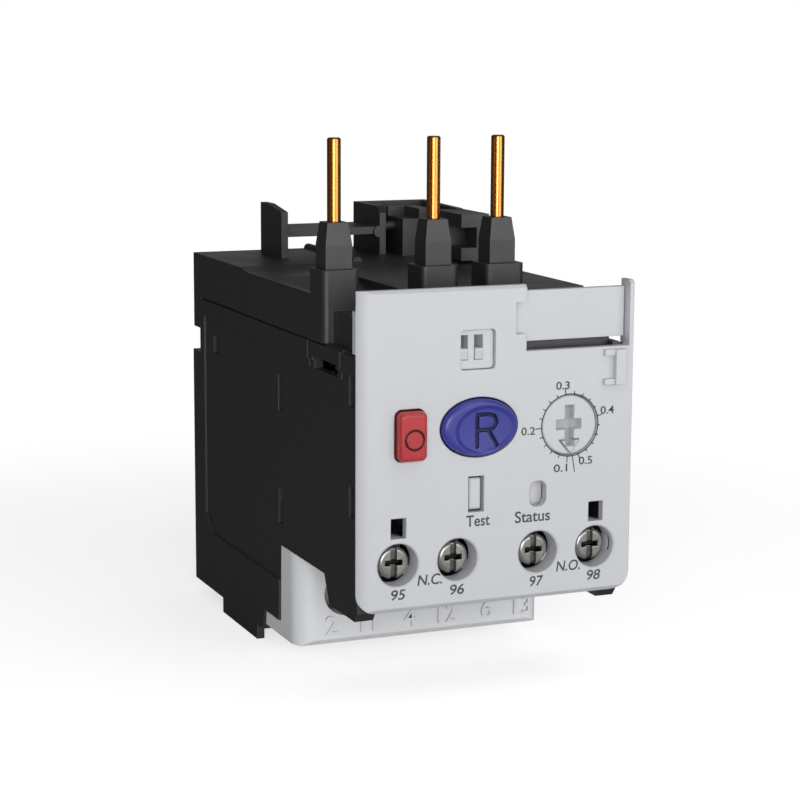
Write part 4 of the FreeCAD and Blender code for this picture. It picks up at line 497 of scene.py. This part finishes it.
def threaded_shank(centre, radius, pitch, start, length, spokes=36, steps=6):
    """A screw thread along +Y, closed at both ends.

    Its radius falls and rises with the fraction of (y / pitch - angle / turn), and runs out at the tip."""
    rows = int(length / pitch * steps) + 1
    y = np.linspace(0, length, rows)[:, None]
    angle = np.linspace(0, 2 * math.pi, spokes, endpoint=False)[None, :]
    phase = (y / pitch - angle / (2 * math.pi)) % 1
    r = radius - 0.55 * pitch * np.abs(phase - 0.5) * smooth_step(length - y, 0, pitch)
    points = np.stack((centre[0] + r * np.cos(angle), start + y + 0 * angle, centre[2] + r * np.sin(angle)),
                      -1)
    index = np.arange(rows * spokes).reshape(rows, spokes)
    nexts = np.roll(index, -1, axis=1)
    faces = np.stack((index[:-1], nexts[:-1], nexts[1:], index[1:]), -1).reshape(-1, 4).tolist()
    ends = np.array([[centre[0], start, centre[2]], [centre[0], start + length, centre[2]]])
    count = rows * spokes
    faces += [[int(a), count, int(b)] for a, b in zip(index[0], nexts[0])]
    faces += [[int(a), int(b), count + 1] for a, b in zip(index[-1], nexts[-1])]
    return np.concatenate((points.reshape(-1, 3), ends)), faces


def coil_tube(centre, radius, wire, start, end, turns, sides=8, steps=24):
    """A wire of round section along the helix (R cos t, start + rise t, R sin t), with closed ends."""
    rows = turns * steps + 1
    t = np.linspace(0, 2 * math.pi * turns, rows)[:, None]
    around = np.linspace(0, 2 * math.pi, sides, endpoint=False)[None, :]
    r = radius + wire * np.cos(around)
    y = start + (end - start) * t / t[-1] + wire * np.sin(around)
    points = np.stack((centre[0] + r * np.cos(t), y + 0 * r, centre[2] + r * np.sin(t)), -1).reshape(-1, 3)
    index = np.arange(rows * sides).reshape(rows, sides)
    nexts = np.roll(index, -1, axis=1)
    faces = np.stack((index[:-1], nexts[:-1], nexts[1:], index[1:]), -1).reshape(-1, 4).tolist()
    return points, [*faces, index[0, ::-1].tolist(), index[-1].tolist()]


def lettering(text, centre, width, height, plane, thick, slant=0.0, weight=0.0, base_shade=0.0):
    """Raised characters facing -Y, fitted to a width and height, that stand off a plane by a thickness.

    The points behind the plane are painted dark by a given share, as painted shade where the characters meet
    the plane."""
    curve = bpy.data.curves.new("lettering", "FONT")
    curve.body = text
    curve.shear = slant
    curve.offset = weight
    curve.extrude = 0.5
    curve.resolution_u = 6
    holder = bpy.data.objects.new("lettering", curve)
    bpy.context.scene.collection.objects.link(holder)
    bpy.context.view_layer.update()
    made = bpy.data.meshes.new_from_object(holder.evaluated_get(bpy.context.evaluated_depsgraph_get()))
    flat = np.zeros(len(made.vertices) * 3)
    made.vertices.foreach_get("co", flat)
    flat = flat.reshape(-1, 3)
    faces = [list(face.vertices) for face in made.polygons]
    bpy.data.objects.remove(holder)
    bpy.data.curves.remove(curve)
    bpy.data.meshes.remove(made)
    low, high = flat[:, :2].min(0), flat[:, :2].max(0)
    scaled = (flat[:, :2] - (low + high) / 2) / (high - low) * (width, height)
    points = np.stack((centre[0] + scaled[:, 0], plane + thick / 2 - (flat[:, 2] + 0.5) * thick * 1.5,
                       centre[1] + scaled[:, 1]), -1)
    return points, faces, np.where(flat[:, 2] < 0, base_shade, 0.0)


def bar(start, end, width, plane, thick):
    """A flat printed stroke from one point to another on the front, as a thin block."""
    a, b = np.array(start), np.array(end)
    side = np.array((a[1] - b[1], b[0] - a[0])) / np.linalg.norm(b - a) * width / 2
    corners = np.array((a + side, a - side, b - side, b + side))
    layers = [np.stack((corners[:, 0], np.full(4, y), corners[:, 1]), -1)
              for y in (plane - thick, plane + thick / 2)]
    faces = [[0, 1, 2, 3], [7, 6, 5, 4]] + [[i, i + 4, (i + 1) % 4 + 4, (i + 1) % 4] for i in range(4)]
    return np.concatenate(layers), faces


def hoop(centre, inner, outer, plane, thick, spokes=96):
    """A flat printed ring on the front, closed on all its sides."""
    angle = np.linspace(0, 2 * math.pi, spokes, endpoint=False)
    loops = [np.stack((centre[0] + r * np.cos(angle), np.full(spokes, y), centre[1] + r * np.sin(angle)), -1)
             for r, y in ((inner, plane - thick), (outer, plane - thick), (outer, plane + thick / 2),
                          (inner, plane + thick / 2))]
    index = np.arange(4 * spokes).reshape(4, spokes)
    nexts = np.roll(index, -1, axis=1)
    after = np.roll(index, -1, axis=0)
    faces = np.stack((index, nexts, np.roll(nexts, -1, axis=0), after), -1).reshape(-1, 4)
    return np.concatenate(loops), faces.tolist()


def piece(name, parts, body, material, replaces=(), sharp=40.0):
    """One object from parts of points and faces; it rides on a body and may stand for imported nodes."""
    points, faces, marks_and_shades, first = [], [], [], 0
    for part_points, part_faces, *mark_and_shade in parts:
        points.append(np.asarray(part_points) * MM)
        faces += [[corner + first for corner in face] for face in part_faces]
        marks_and_shades.append(mark_and_shade[0] if mark_and_shade else np.zeros(len(part_points)))
        first += len(part_points)
    mesh = bpy.data.meshes.new(name)
    mesh.from_pydata(np.concatenate(points), [], faces)
    # The paint attribute holds each point's share of marks and of painted shade.
    mesh.attributes.new("paint", "FLOAT", "POINT").data.foreach_set("value", np.concatenate(marks_and_shades))
    shape = bmesh.new()
    shape.from_mesh(mesh)
    bmesh.ops.remove_doubles(shape, verts=shape.verts, dist=1e-7)
    bmesh.ops.recalc_face_normals(shape, faces=shape.faces)
    shape.to_mesh(mesh)
    shape.free()
    mesh.polygons.foreach_set("use_smooth", np.ones(len(mesh.polygons), bool))
    mesh.set_sharp_from_angle(angle=math.radians(sharp))
    mesh.materials.append(materials()[material])
    made = bpy.data.objects.new(name, mesh)
    bpy.context.scene.collection.objects.link(made)
    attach(made, body)
    if replaces:
        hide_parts(*replaces)
    return made


# Pieces


def cap_halves(name):
    """Half the width and half the height of a button's cap, which its lip goes past on every side."""
    low, high = reach(name)
    return (high[0] - low[0]) / 2 - LIP, (high[2] - low[2]) / 2 - LIP


def button_rings(back, end, stem, lead=0.0):
    """Rings of a button behind its cap: the lip, 1 mm thick less a lead, and the stem, a share of the cap.
    The lip's front is fully dark, as painted shadow in the gap round the cap.
    """
    return ((0, 1, back + lead, 1.0), (LIP, 1, back + lead, 1.0), (LIP, 1, back + 1), (0, stem, back + 1),
            (0, stem, end))


class RELAY_OT_plastics(Operator):
    """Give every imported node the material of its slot"""

    bl_idname = "relay.plastics"
    bl_label = "Materials of the packed nodes"

    def execute(self, context):
        made = materials()
        for row in frame["record"]["subparts"]:
            for slot in frame["nodes"][row["node"]].material_slots:
                slot.material = made[row["material_slot"]]
        return {"FINISHED"}


class RELAY_OT_reset(Operator):
    """Blue oval button with a dished face, an engraved letter, a lip and a stem"""

    bl_idname = "relay.reset"
    bl_label = "Reset button"

    def execute(self, context):
        low, high = reach("reset_button")
        centre = middle("reset_button")
        half_x, half_z = cap_halves("reset_button")
        stand = PANEL_Y - low[1]
        dish_x, dish_z = 0.95, -0.45
        letter_x, letter_z = 1.15, -0.5
        bowl = ((-1.55, -2.4), (-1.55, 2.4), (0.35, 2.4), (1.15, 2.15), (1.55, 1.5), (1.55, 0.9), (1.15, 0.3),
                (0.35, 0.05), (-1.55, 0.05))
        leg = ((0.3, 0.05), (1.7, -2.4))

        def letter_distance(x, z):
            """Distance to the nearer of the letter's two lines."""
            return np.minimum(*(stroke_distance(x - letter_x, z - letter_z, line) for line in (bowl, leg)))

        def paint(x, z):
            """1 near the letter's lines, falling smoothly to 0 beside them."""
            return 1 - smooth_step(letter_distance(x, z), 0.24, 0.31)

        def top(x, z):
            """Flat with a quarter-round edge, less an elliptic dish off its middle and the letter."""
            r = np.sqrt((x / half_x) ** 2 + (z / half_z) ** 2)
            dome = stand * quarter_round((r - 0.80) / 0.20)
            dish_r = np.sqrt(((x - dish_x) / (half_x - 0.9)) ** 2 + ((z - dish_z) / (half_z - 0.45)) ** 2)
            dish = 0.55 * (1 - smooth_step(dish_r, 0.80, 1.0)) + 0.12 * np.clip(1 - dish_r, 0, 1)
            return dome - dish - 0.4 * (1 - smooth_step(letter_distance(x, z), 0.20, 0.32))

        # The cap's wall darkens from 0.3 just behind the panel's face to fully dark at the lip, whose front
        # is fully dark: painted shadow in the gap round the button.
        rings = ((0, 1, PANEL_Y + 0.15, 0.3), *button_rings(PANEL_Y + 1.5, high[1], 0.33))
        grid = disc_grid(context.scene.relay_finish.cap_cells, half_x, half_z)
        solid = topped_prism((centre[0], PANEL_Y, centre[2]), grid, top, rings, paint)
        piece("reset_cap", [solid], "reset", "blue_plastic", ["reset_button"])
        return {"FINISHED"}


class RELAY_OT_stop(Operator):
    """Red button with rounded edges, an engraved ring, a lip and a stem"""

    bl_idname = "relay.stop"
    bl_label = "Stop button"

    def execute(self, context):
        low, high = reach("stop_button")
        centre = middle("stop_button")
        half_x, half_z = cap_halves("stop_button")
        stand = PANEL_Y - low[1]
        corner, edge = 0.9, 0.7
        ring_x, ring_z, ring_radius = 0.1, -0.45, 1.45

        def paint(x, z):
            """1 near a circle's line, falling smoothly to 0 beside it."""
            return 1 - smooth_step(np.abs(np.hypot(x - ring_x, z - ring_z) - ring_radius), 0.13, 0.19)

        def top(x, z):
            """Flat with a quarter-round edge along the outline, less the painted ring."""
            core_x, core_z = core_of(x, z, half_x, half_z, corner)
            inside = corner - np.hypot(x - core_x, z - core_z)
            face = stand - edge * (1 - quarter_round(1 - inside / edge))
            return face - 0.2 * paint(x, z)

        # The cap's wall darkens from 0.3 just behind the panel's face to fully dark at the lip, whose front
        # is fully dark: painted shadow in the gap round the button.
        rings = ((0, 1, PANEL_Y - stand + 0.9), (0, 1, PANEL_Y + 0.15, 0.3),
                 *button_rings(PANEL_Y + 1.5, high[1], 0.45))
        grid = plate_grid(context.scene.relay_finish.cap_cells, half_x, half_z, corner)
        solid = topped_prism((centre[0], PANEL_Y, centre[2]), grid, top, rings, paint)
        piece("stop_cap", [solid], "stop", "red_plastic", ["stop_button"])
        return {"FINISHED"}


class RELAY_OT_test(Operator):
    """Pale test slider with soft edges, a lip painted dark as shadow in its gap, and a stem"""

    bl_idname = "relay.test"
    bl_label = "Test slider"

    def execute(self, context):
        low, high = reach("test_lever")
        centre = middle("test_lever")
        corner, gap = 0.2, 0.12
        half_x, half_z = (half - gap for half in cap_halves("test_lever"))

        def top(x, z):
            """Flat, and falling by a smooth step close to the border."""
            inside = np.minimum(half_x - np.abs(x), half_z - np.abs(z))
            return -0.2 * (1 - smooth_step(inside, 0.0, 0.3))

        # The slider's wall is half dark 0.3 behind its face and fully dark at the lip, whose front is fully
        # dark: painted shadow in the gap round the slider.
        rings = ((0, 1, low[1] + 0.3, 0.5), *button_rings(low[1] + 1.0, high[1], 0.45, lead=0.1))
        grid = plate_grid(context.scene.relay_finish.cap_cells // 2, half_x, half_z, corner)
        solid = topped_prism((centre[0], low[1], centre[2]), grid, top, rings)
        piece("test_cap", [solid], "test", "grey_plastic", ["test_lever"])
        return {"FINISHED"}


class RELAY_OT_dial(Operator):
    """Setting dial with a cross slot and a raised pointer, and its printed scale"""

    bl_idname = "relay.dial"
    bl_label = "Setting dial and scale"

    def execute(self, context):
        low, high = reach("setting_dial")
        centre = middle("setting_dial")
        radius = (high[0] - low[0]) / 2
        knob_thick, shaft_share = 2.6, 0.33
        upright_middle, across_middle = (0, -0.1), (-0.1, 0.1)
        arrow = ((-1.71, -2.25), (0.19, -4.4), (1.61, -2.22), (-1.71, -2.25))

        def top(x, z):
            """A disc with a raised arrow below its middle, less a cross of two slabs and a soft rim."""
            r = np.hypot(x, z)
            rim = 0.25 * smooth_step(r, radius - 0.25, radius)
            upright = slab(x, z, upright_middle, 0.75, 3.1)
            across = slab(x, z, across_middle, 2.1, 0.75)
            cross = np.maximum(upright * (1.0 + 0.3 * np.clip(x / 0.75, -1, 1)), across * 1.15)
            half = np.clip((z + radius) / (radius - 2.25) * 1.65, 0, 2)
            pointer = (1 - smooth_step(np.abs(x) - half, -0.05, 0.05)) * (1 - smooth_step(z, -2.3, -2.2))
            return 0.30 * pointer * (1 - np.maximum(upright, across)) - cross - rim

        def paint(x, z):
            """Painted shade: the cross slot a third dark, and a line round the raised arrow darker where the
            cross isn't.
            """
            slot = np.maximum(slab(x, z, upright_middle, 0.72, 3.05), slab(x, z, across_middle, 2.05, 0.72))
            line = stroke_distance(x, z, arrow)
            return np.maximum(0.34 * slot, 0.75 * (1 - smooth_step(line, 0.08, 0.14)) * (1 - slot))

        knob_back = low[1] + knob_thick
        rings = ((0, 1, knob_back), (0, shaft_share, knob_back), (0, shaft_share, high[1]))
        grid = disc_grid(context.scene.relay_finish.cap_cells, radius, radius)
        solid = topped_prism((centre[0], low[1], centre[2]), grid, top, rings, paint)
        piece("dial_knob", [solid], "dial", "grey_plastic", ["setting_dial"])

        thick = context.scene.relay_finish.print_height / MM
        across, up = centre[0] - 0.1, centre[2]
        first, sweep, marks = math.radians(-93.2), math.radians(337.7), 20
        tick_start, short_tick, long_tick, line_width = 4.72, 5.25, 5.75, 0.16
        parts = [hoop((centre[0], up), radius + 0.14, radius + 0.32, PANEL_Y, thick)]
        for mark in range(marks + 1):
            angle = first - sweep * mark / marks
            tick_end = long_tick if mark % 5 == 0 else short_tick
            ends = [(across + r * math.cos(angle), up + r * math.sin(angle)) for r in (tick_start, tick_end)]
            parts.append(bar(*ends, line_width, PANEL_Y, thick))
        divider = [(centre[0] + x, up + z) for x, z in ((0.47, -4.6), (0.92, -7.3))]
        parts.append(bar(*divider, line_width, PANEL_Y, thick))
        numbers = (("0.1", -1.47, -6.53), ("0.2", -7.01, -0.47), ("0.3", -1.29, 6.15), ("0.4", 6.34, 1.95),
                   ("0.5", 2.78, -5.63))
        parts += [lettering(text, (centre[0] + x, up + z), 2.3, 1.22, PANEL_Y, thick, weight=0.012)
                  for text, x, z in numbers]
        piece("dial_scale", parts, "housing", "ink")
        return {"FINISHED"}


class RELAY_OT_springs(Operator):
    """Return springs of the three buttons, each riding on its button"""

    bl_idname = "relay.springs"
    bl_label = "Return springs"

    def execute(self, context):
        wire, turns = 0.25, 4
        for name in ("reset", "stop", "test"):
            low, high = reach(f"{name}_spring")
            centre = middle(f"{name}_spring")
            radius = (high[0] - low[0]) / 2 - wire
            coil = coil_tube(centre, radius, wire, low[1] + wire, high[1] - wire, turns)
            made = piece(f"{name}_coil", [coil], name, "spring_steel", [f"{name}_spring"])
            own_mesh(made)
        return {"FINISHED"}


class RELAY_OT_liners(Operator):
    """Inner wall of the right-hand screw hole, where the cover's collar is cut back for the housing"""

    bl_idname = "relay.liners"
    bl_label = "Screw hole wall"

    def execute(self, context):
        centre = middle("aux_screw_4")
        inner, outer, spokes = 3.0, 3.07, 24
        front, depth, half_sweep = PANEL_Y + 1.45, 1.8, math.radians(25)
        angle = np.linspace(-half_sweep, half_sweep, spokes)
        across, up = np.cos(angle), np.sin(angle)
        # Four arcs at the corners of the wall's section, joined in turn and closed at both ends.
        loops = [np.stack((centre[0] + r * across, np.full(spokes, y), centre[2] + r * up), -1)
                 for r, y in ((inner, front), (outer, front), (outer, front + depth), (inner, front + depth))]
        index = np.arange(len(loops) * spokes).reshape(len(loops), spokes)
        after = np.roll(index, -1, axis=0)
        sides = np.stack((index[:, :-1], index[:, 1:], after[:, 1:], after[:, :-1]), -1).reshape(-1, 4)
        faces = [*sides.tolist(), index[:, 0].tolist(), index[::-1, -1].tolist()]
        piece("hole_wall", [(np.concatenate(loops), faces)], "housing", "grey_plastic")
        return {"FINISHED"}


class RELAY_OT_levers(Operator):
    """Levers of the two-way switch, with soft edges and a round mark"""

    bl_idname = "relay.levers"
    bl_label = "Switch levers"

    def execute(self, context):
        for number in (1, 2):
            name = f"switch_lever_{number}"
            low, high = reach(name)
            centre = middle(name)
            half_x, half_z = (high[0] - low[0]) / 2, (high[2] - low[2]) / 2
            corner, mark_radius, mark_height = 0.15, 0.32, 0.12

            def top(x, z):
                """Flat with a soft edge, and a low ring raised round its middle."""
                inside = np.minimum(half_x - np.abs(x), half_z - np.abs(z))
                ring = np.abs(np.hypot(x, z) - mark_radius)
                mark = mark_height * (1 - smooth_step(ring, 0.05, 0.11)) * (ring < 0.2)
                return mark - 0.15 * (1 - smooth_step(inside, 0, 0.18))

            rings = ((0, 1, low[1] + 0.3), (0, 1, high[1]))
            grid = plate_grid(context.scene.relay_finish.cap_cells // 2, half_x, half_z, corner)
            solid = topped_prism((centre[0], low[1] + mark_height, centre[2]), grid, top, rings)
            piece(f"{name}_cap", [solid], f"lever_{number}", "grey_plastic", [name])
        return {"FINISHED"}


class RELAY_OT_screws(Operator):
    """Terminal screws with a slot and a short cross, and threaded shanks"""

    bl_idname = "relay.screws"
    bl_label = "Terminal screws"

    def execute(self, context):
        cells = context.scene.relay_finish.cap_cells * 2 // 3
        overlap = 0.1
        for kind, count, thick, shank, pitch in (("aux", 4, 2.0, 1.7, 0.6), ("load", 3, 2.4, 2.0, 0.7)):
            for number in range(1, count + 1):
                name = f"{kind}_screw_{number}"
                low, high = reach(name)
                centre = middle(name)
                radius = (high[0] - low[0]) / 2

                def top(x, z):
                    """A disc whose edge falls as a square, less a long slot and a shorter, deeper cross."""
                    r = np.hypot(x, z) / radius
                    crown = -0.45 * np.clip((r - 0.78) / 0.22, 0, 1) ** 2
                    slot = 0.75 * slab(x, z, (0, 0), 0.19 * radius, 2 * radius)
                    cross = 1.35 * slab(x, z, (0, 0), 0.56 * radius, 0.153 * radius)
                    return crown - np.maximum(slot, cross)

                def paint(x, z):
                    """Painted shade in both slots, a little wider than them, the short one darker."""
                    return np.maximum(0.55 * slab(x, z, (0, 0), 0.2 * radius, 2 * radius),
                                      slab(x, z, (0, 0), 0.57 * radius, 0.165 * radius))

                rings = ((0, 1, low[1] + thick), (0, shank / radius, low[1] + thick))
                grid = disc_grid(cells, radius, radius)
                head = topped_prism((centre[0], low[1], centre[2]), grid, top, rings, paint)
                stem = threaded_shank(centre, shank, pitch, low[1] + thick - overlap,
                                      high[1] - low[1] - thick + overlap)
                piece(f"{name}_turned", [head, stem], name, "plated_steel", [name])
        return {"FINISHED"}


class RELAY_OT_prints(Operator):
    """Printed numbers and signs of the cover, and raised numbers of the load block"""

    bl_idname = "relay.prints"
    bl_label = "Prints and raised numbers"

    def execute(self, context):
        thick = context.scene.relay_finish.print_height / MM
        number_size = (2.3, 1.6)
        legends = (("95", "aux_screw_1", 0.0, -4.45, *number_size),
                   ("96", "aux_screw_2", -0.11, -4.51, *number_size),
                   ("97", "aux_screw_3", -0.22, -4.48, *number_size),
                   ("98", "aux_screw_4", -0.11, -4.43, *number_size),
                   ("N.C.", "aux_screw_1", 5.09, -2.57, 4.0, 1.65),
                   ("N.O.", "aux_screw_3", 5.12, -2.56, 4.1, 1.65),
                   ("Test", "test_lever", 0.34, -4.07, 3.9, 1.75),
                   ("Status", "status_flag", -0.82, -2.55, 5.9, 1.8))
        parts = []
        for text, beside, x, z, width, height in legends:
            place = middle(beside)
            slant = 0.0 if text in ("Test", "Status") else 0.15
            parts.append(lettering(text, (place[0] + x, place[2] + z), width, height, PANEL_Y, thick,
                                   weight=0.012, slant=slant))
        piece("cover_print", parts, "housing", "ink")

        front = reach("terminal_block")[0][1]
        raised = context.scene.relay_finish.emboss / MM
        below, height = -5.15, 3.1
        numbers = (("2", 1, -2.58, 2.0), ("T1", 1, 3.3, 3.4), ("4", 2, -2.9, 2.0), ("T2", 2, 3.2, 3.9),
                   ("6", 3, -3.1, 2.0), ("T3", 3, 2.9, 3.9))
        parts = []
        # Their back points are 0.8 dark: painted shade where the numbers meet the block.
        for text, number, x, width in numbers:
            place = middle(f"load_screw_{number}")
            parts.append(lettering(text, (place[0] + x, place[2] + below), width, height, front, raised,
                                   weight=0.005, base_shade=0.8))
        piece("block_numbers", parts, "housing", "white_plastic")
        return {"FINISHED"}


# Stage


def floor_material(studio):
    """A floor that glows and fades to white for the camera, is grey for shiny parts and pale for light."""
    material = bpy.data.materials.new("floor")
    material.use_nodes = True
    tree = material.node_tree
    tree.nodes.clear()
    link = tree.links.new
    out = node(tree, "OutputMaterial")
    matt = node(tree, "BsdfDiffuse", color=(0.86, 0.86, 0.86, 1))
    glow = node(tree, "Emission", color=(1, 1, 1, 1), strength=0.66)
    both = node(tree, "AddShader")
    white = node(tree, "Emission", color=(1, 1, 1, 1), strength=1.0)
    place = node(tree, "TexCoord")
    away = node(tree, "VectorMath", operation="LENGTH")
    fade = node(tree, "MapRange", interpolation_type="SMOOTHSTEP", from_min=0.07, from_max=0.16)
    near = node(tree, "MixShader")
    path = node(tree, "LightPath")
    screen = node(tree, "BsdfDiffuse", color=(studio.mirrored, studio.mirrored, studio.mirrored, 1))
    shiny = node(tree, "MixShader")
    seen = node(tree, "MixShader")
    link(place.outputs["Object"], away.inputs[0])
    link(away.outputs["Value"], fade.inputs["Value"])
    link(matt.outputs[0], both.inputs[0])
    link(glow.outputs[0], both.inputs[1])
    link(fade.outputs["Result"], near.inputs[0])
    link(both.outputs[0], near.inputs[1])
    link(white.outputs[0], near.inputs[2])
    link(path.outputs["Is Camera Ray"], seen.inputs[0])
    link(path.outputs["Is Glossy Ray"], shiny.inputs[0])
    link(matt.outputs[0], shiny.inputs[1])
    link(screen.outputs[0], shiny.inputs[2])
    link(shiny.outputs[0], seen.inputs[1])
    link(near.outputs[0], seen.inputs[2])
    link(seen.outputs[0], out.inputs["Surface"])
    return material


def add_floor(studio):
    """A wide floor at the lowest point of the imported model."""
    half, level = 6.0, CAD_BOX[0][2]
    mesh = bpy.data.meshes.new("floor")
    mesh.from_pydata([(-half, -half, level), (half, -half, level), (half, half, level), (-half, half, level)],
                     [], [(0, 1, 2, 3)])
    floor = bpy.data.objects.new("floor", mesh)
    bpy.context.scene.collection.objects.link(floor)
    mesh.materials.append(floor_material(studio))


def studio_world(studio):
    """White for the camera, dark screens and one pale wall for shiny parts, and a dim room for light."""
    world = bpy.data.worlds.new("studio")
    world.use_nodes = True
    tree = world.node_tree
    tree.nodes.clear()
    link = tree.links.new
    out = node(tree, "OutputWorld")
    room = node(tree, "Background", color=(1, 1, 1, 1), strength=studio.room)
    flags = node(tree, "Background", color=(1, 1, 1, 1))
    white = node(tree, "Background", color=(1, 1, 1, 1), strength=1.0)
    path = node(tree, "LightPath")
    aim = node(tree, "TexCoord")
    behind = node(tree, "VectorMath", operation="DOT_PRODUCT")
    behind.inputs[1].default_value = (0.45, 0.89, 0.0)
    wall = node(tree, "MapRange", interpolation_type="SMOOTHSTEP", from_min=0.80, from_max=0.98,
                to_min=studio.flags, to_max=0.4)
    shiny = node(tree, "MixShader")
    seen = node(tree, "Math", operation="MAXIMUM")
    mix = node(tree, "MixShader")
    link(aim.outputs["Generated"], behind.inputs[0])
    link(behind.outputs["Value"], wall.inputs["Value"])
    link(wall.outputs["Result"], flags.inputs["Strength"])
    link(path.outputs["Is Glossy Ray"], shiny.inputs[0])
    link(room.outputs[0], shiny.inputs[1])
    link(flags.outputs[0], shiny.inputs[2])
    link(path.outputs["Is Transmission Ray"], seen.inputs[0])
    link(path.outputs["Is Camera Ray"], seen.inputs[1])
    link(seen.outputs[0], mix.inputs[0])
    link(shiny.outputs[0], mix.inputs[1])
    link(white.outputs[0], mix.inputs[2])
    link(mix.outputs[0], out.inputs["Surface"])
    return world


def add_lights(studio):
    """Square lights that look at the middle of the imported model, each at a place about that middle."""
    target = (Vector(CAD_BOX[0]) + Vector(CAD_BOX[1])) / 2
    for name, power, size, away in (("front_light", studio.key, 0.30, (0.17, -0.40, 0.02)),
                                    ("camera_light", studio.fill, 0.25, (-0.20, -0.50, 0.08)),
                                    ("near_light", studio.near, 0.15, (0.04, -0.17, 0.20)),
                                    ("left_light", studio.side, 0.5, (-0.75, -0.15, 0.15)),
                                    ("top_light", studio.rim, 0.5, (0.1, 0.1, 0.8))):
        lamp = bpy.data.lights.new(name, "AREA")
        lamp.energy = power
        lamp.size = size
        light = bpy.data.objects.new(name, lamp)
        light.location = target + Vector(away)
        light.rotation_mode = "QUATERNION"
        light.rotation_quaternion = (-Vector(away)).to_track_quat("-Z", "Y")
        bpy.context.scene.collection.objects.link(light)


def add_camera(studio):
    """The camera, which looks along its azimuth and elevation and is turned by its roll."""
    lens = bpy.data.cameras.new("camera")
    lens.lens = studio.lens
    lens.sensor_width = 36
    lens.clip_start, lens.clip_end = 0.02, 30
    camera = bpy.data.objects.new("camera", lens)
    camera.location = studio.place
    camera.rotation_mode = "QUATERNION"
    a, e = studio.azimuth, studio.elevation
    sight = Vector((-math.sin(a) * math.cos(e), math.cos(a) * math.cos(e), -math.sin(e)))
    camera.rotation_quaternion = sight.to_track_quat("-Z", "Y") @ Quaternion((0, 0, 1), studio.roll)
    bpy.context.scene.collection.objects.link(camera)
    bpy.context.scene.camera = camera


class RELAY_OT_stage(Operator):
    """Pale floor, soft lights, white surroundings and the camera"""

    bl_idname = "relay.stage"
    bl_label = "Stage"

    def execute(self, context):
        scene = context.scene
        scene.view_settings.view_transform = "Standard"
        add_floor(scene.relay_studio)
        scene.world = studio_world(scene.relay_studio)
        add_lights(scene.relay_studio)
        add_camera(scene.relay_studio)
        return {"FINISHED"}


class RELAY_PT_panel(Panel):
    """Sidebar list of every setting and every step"""

    bl_label = "Overload relay"
    bl_idname = "RELAY_PT_panel"
    bl_space_type = "VIEW_3D"
    bl_region_type = "UI"
    bl_category = "Relay"

    def draw(self, context):
        """A box for each group of settings, then a button for each step."""
        for group in ("relay_paint", "relay_finish", "relay_studio"):
            settings = getattr(context.scene, group)
            box = self.layout.box()
            for key in settings.__annotations__:
                box.prop(settings, key)
        for operator in STEPS:
            self.layout.operator(operator.bl_idname)


GROUPS = {"relay_paint": RelayPaint, "relay_finish": RelayFinish, "relay_studio": RelayStudio}
STEPS = (RELAY_OT_plastics, RELAY_OT_reset, RELAY_OT_stop, RELAY_OT_test, RELAY_OT_dial, RELAY_OT_springs,
         RELAY_OT_liners, RELAY_OT_levers, RELAY_OT_screws, RELAY_OT_prints, RELAY_OT_stage)


def register():
    """Register every class, and hang the groups of settings on the scene."""
    for made in (*GROUPS.values(), *STEPS, RELAY_PT_panel):
        bpy.utils.register_class(made)
    for name, group in GROUPS.items():
        setattr(bpy.types.Scene, name, PointerProperty(type=group))


def unregister():
    """Take the groups and the classes away again."""
    for name in GROUPS:
        delattr(bpy.types.Scene, name)
    for made in reversed((*GROUPS.values(), *STEPS, RELAY_PT_panel)):
        bpy.utils.unregister_class(made)


def main():
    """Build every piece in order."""
    register()
    for step in STEPS:
        area, name = step.bl_idname.split(".")
        getattr(getattr(bpy.ops, area), name)()


if __name__ == "__main__":
    main()
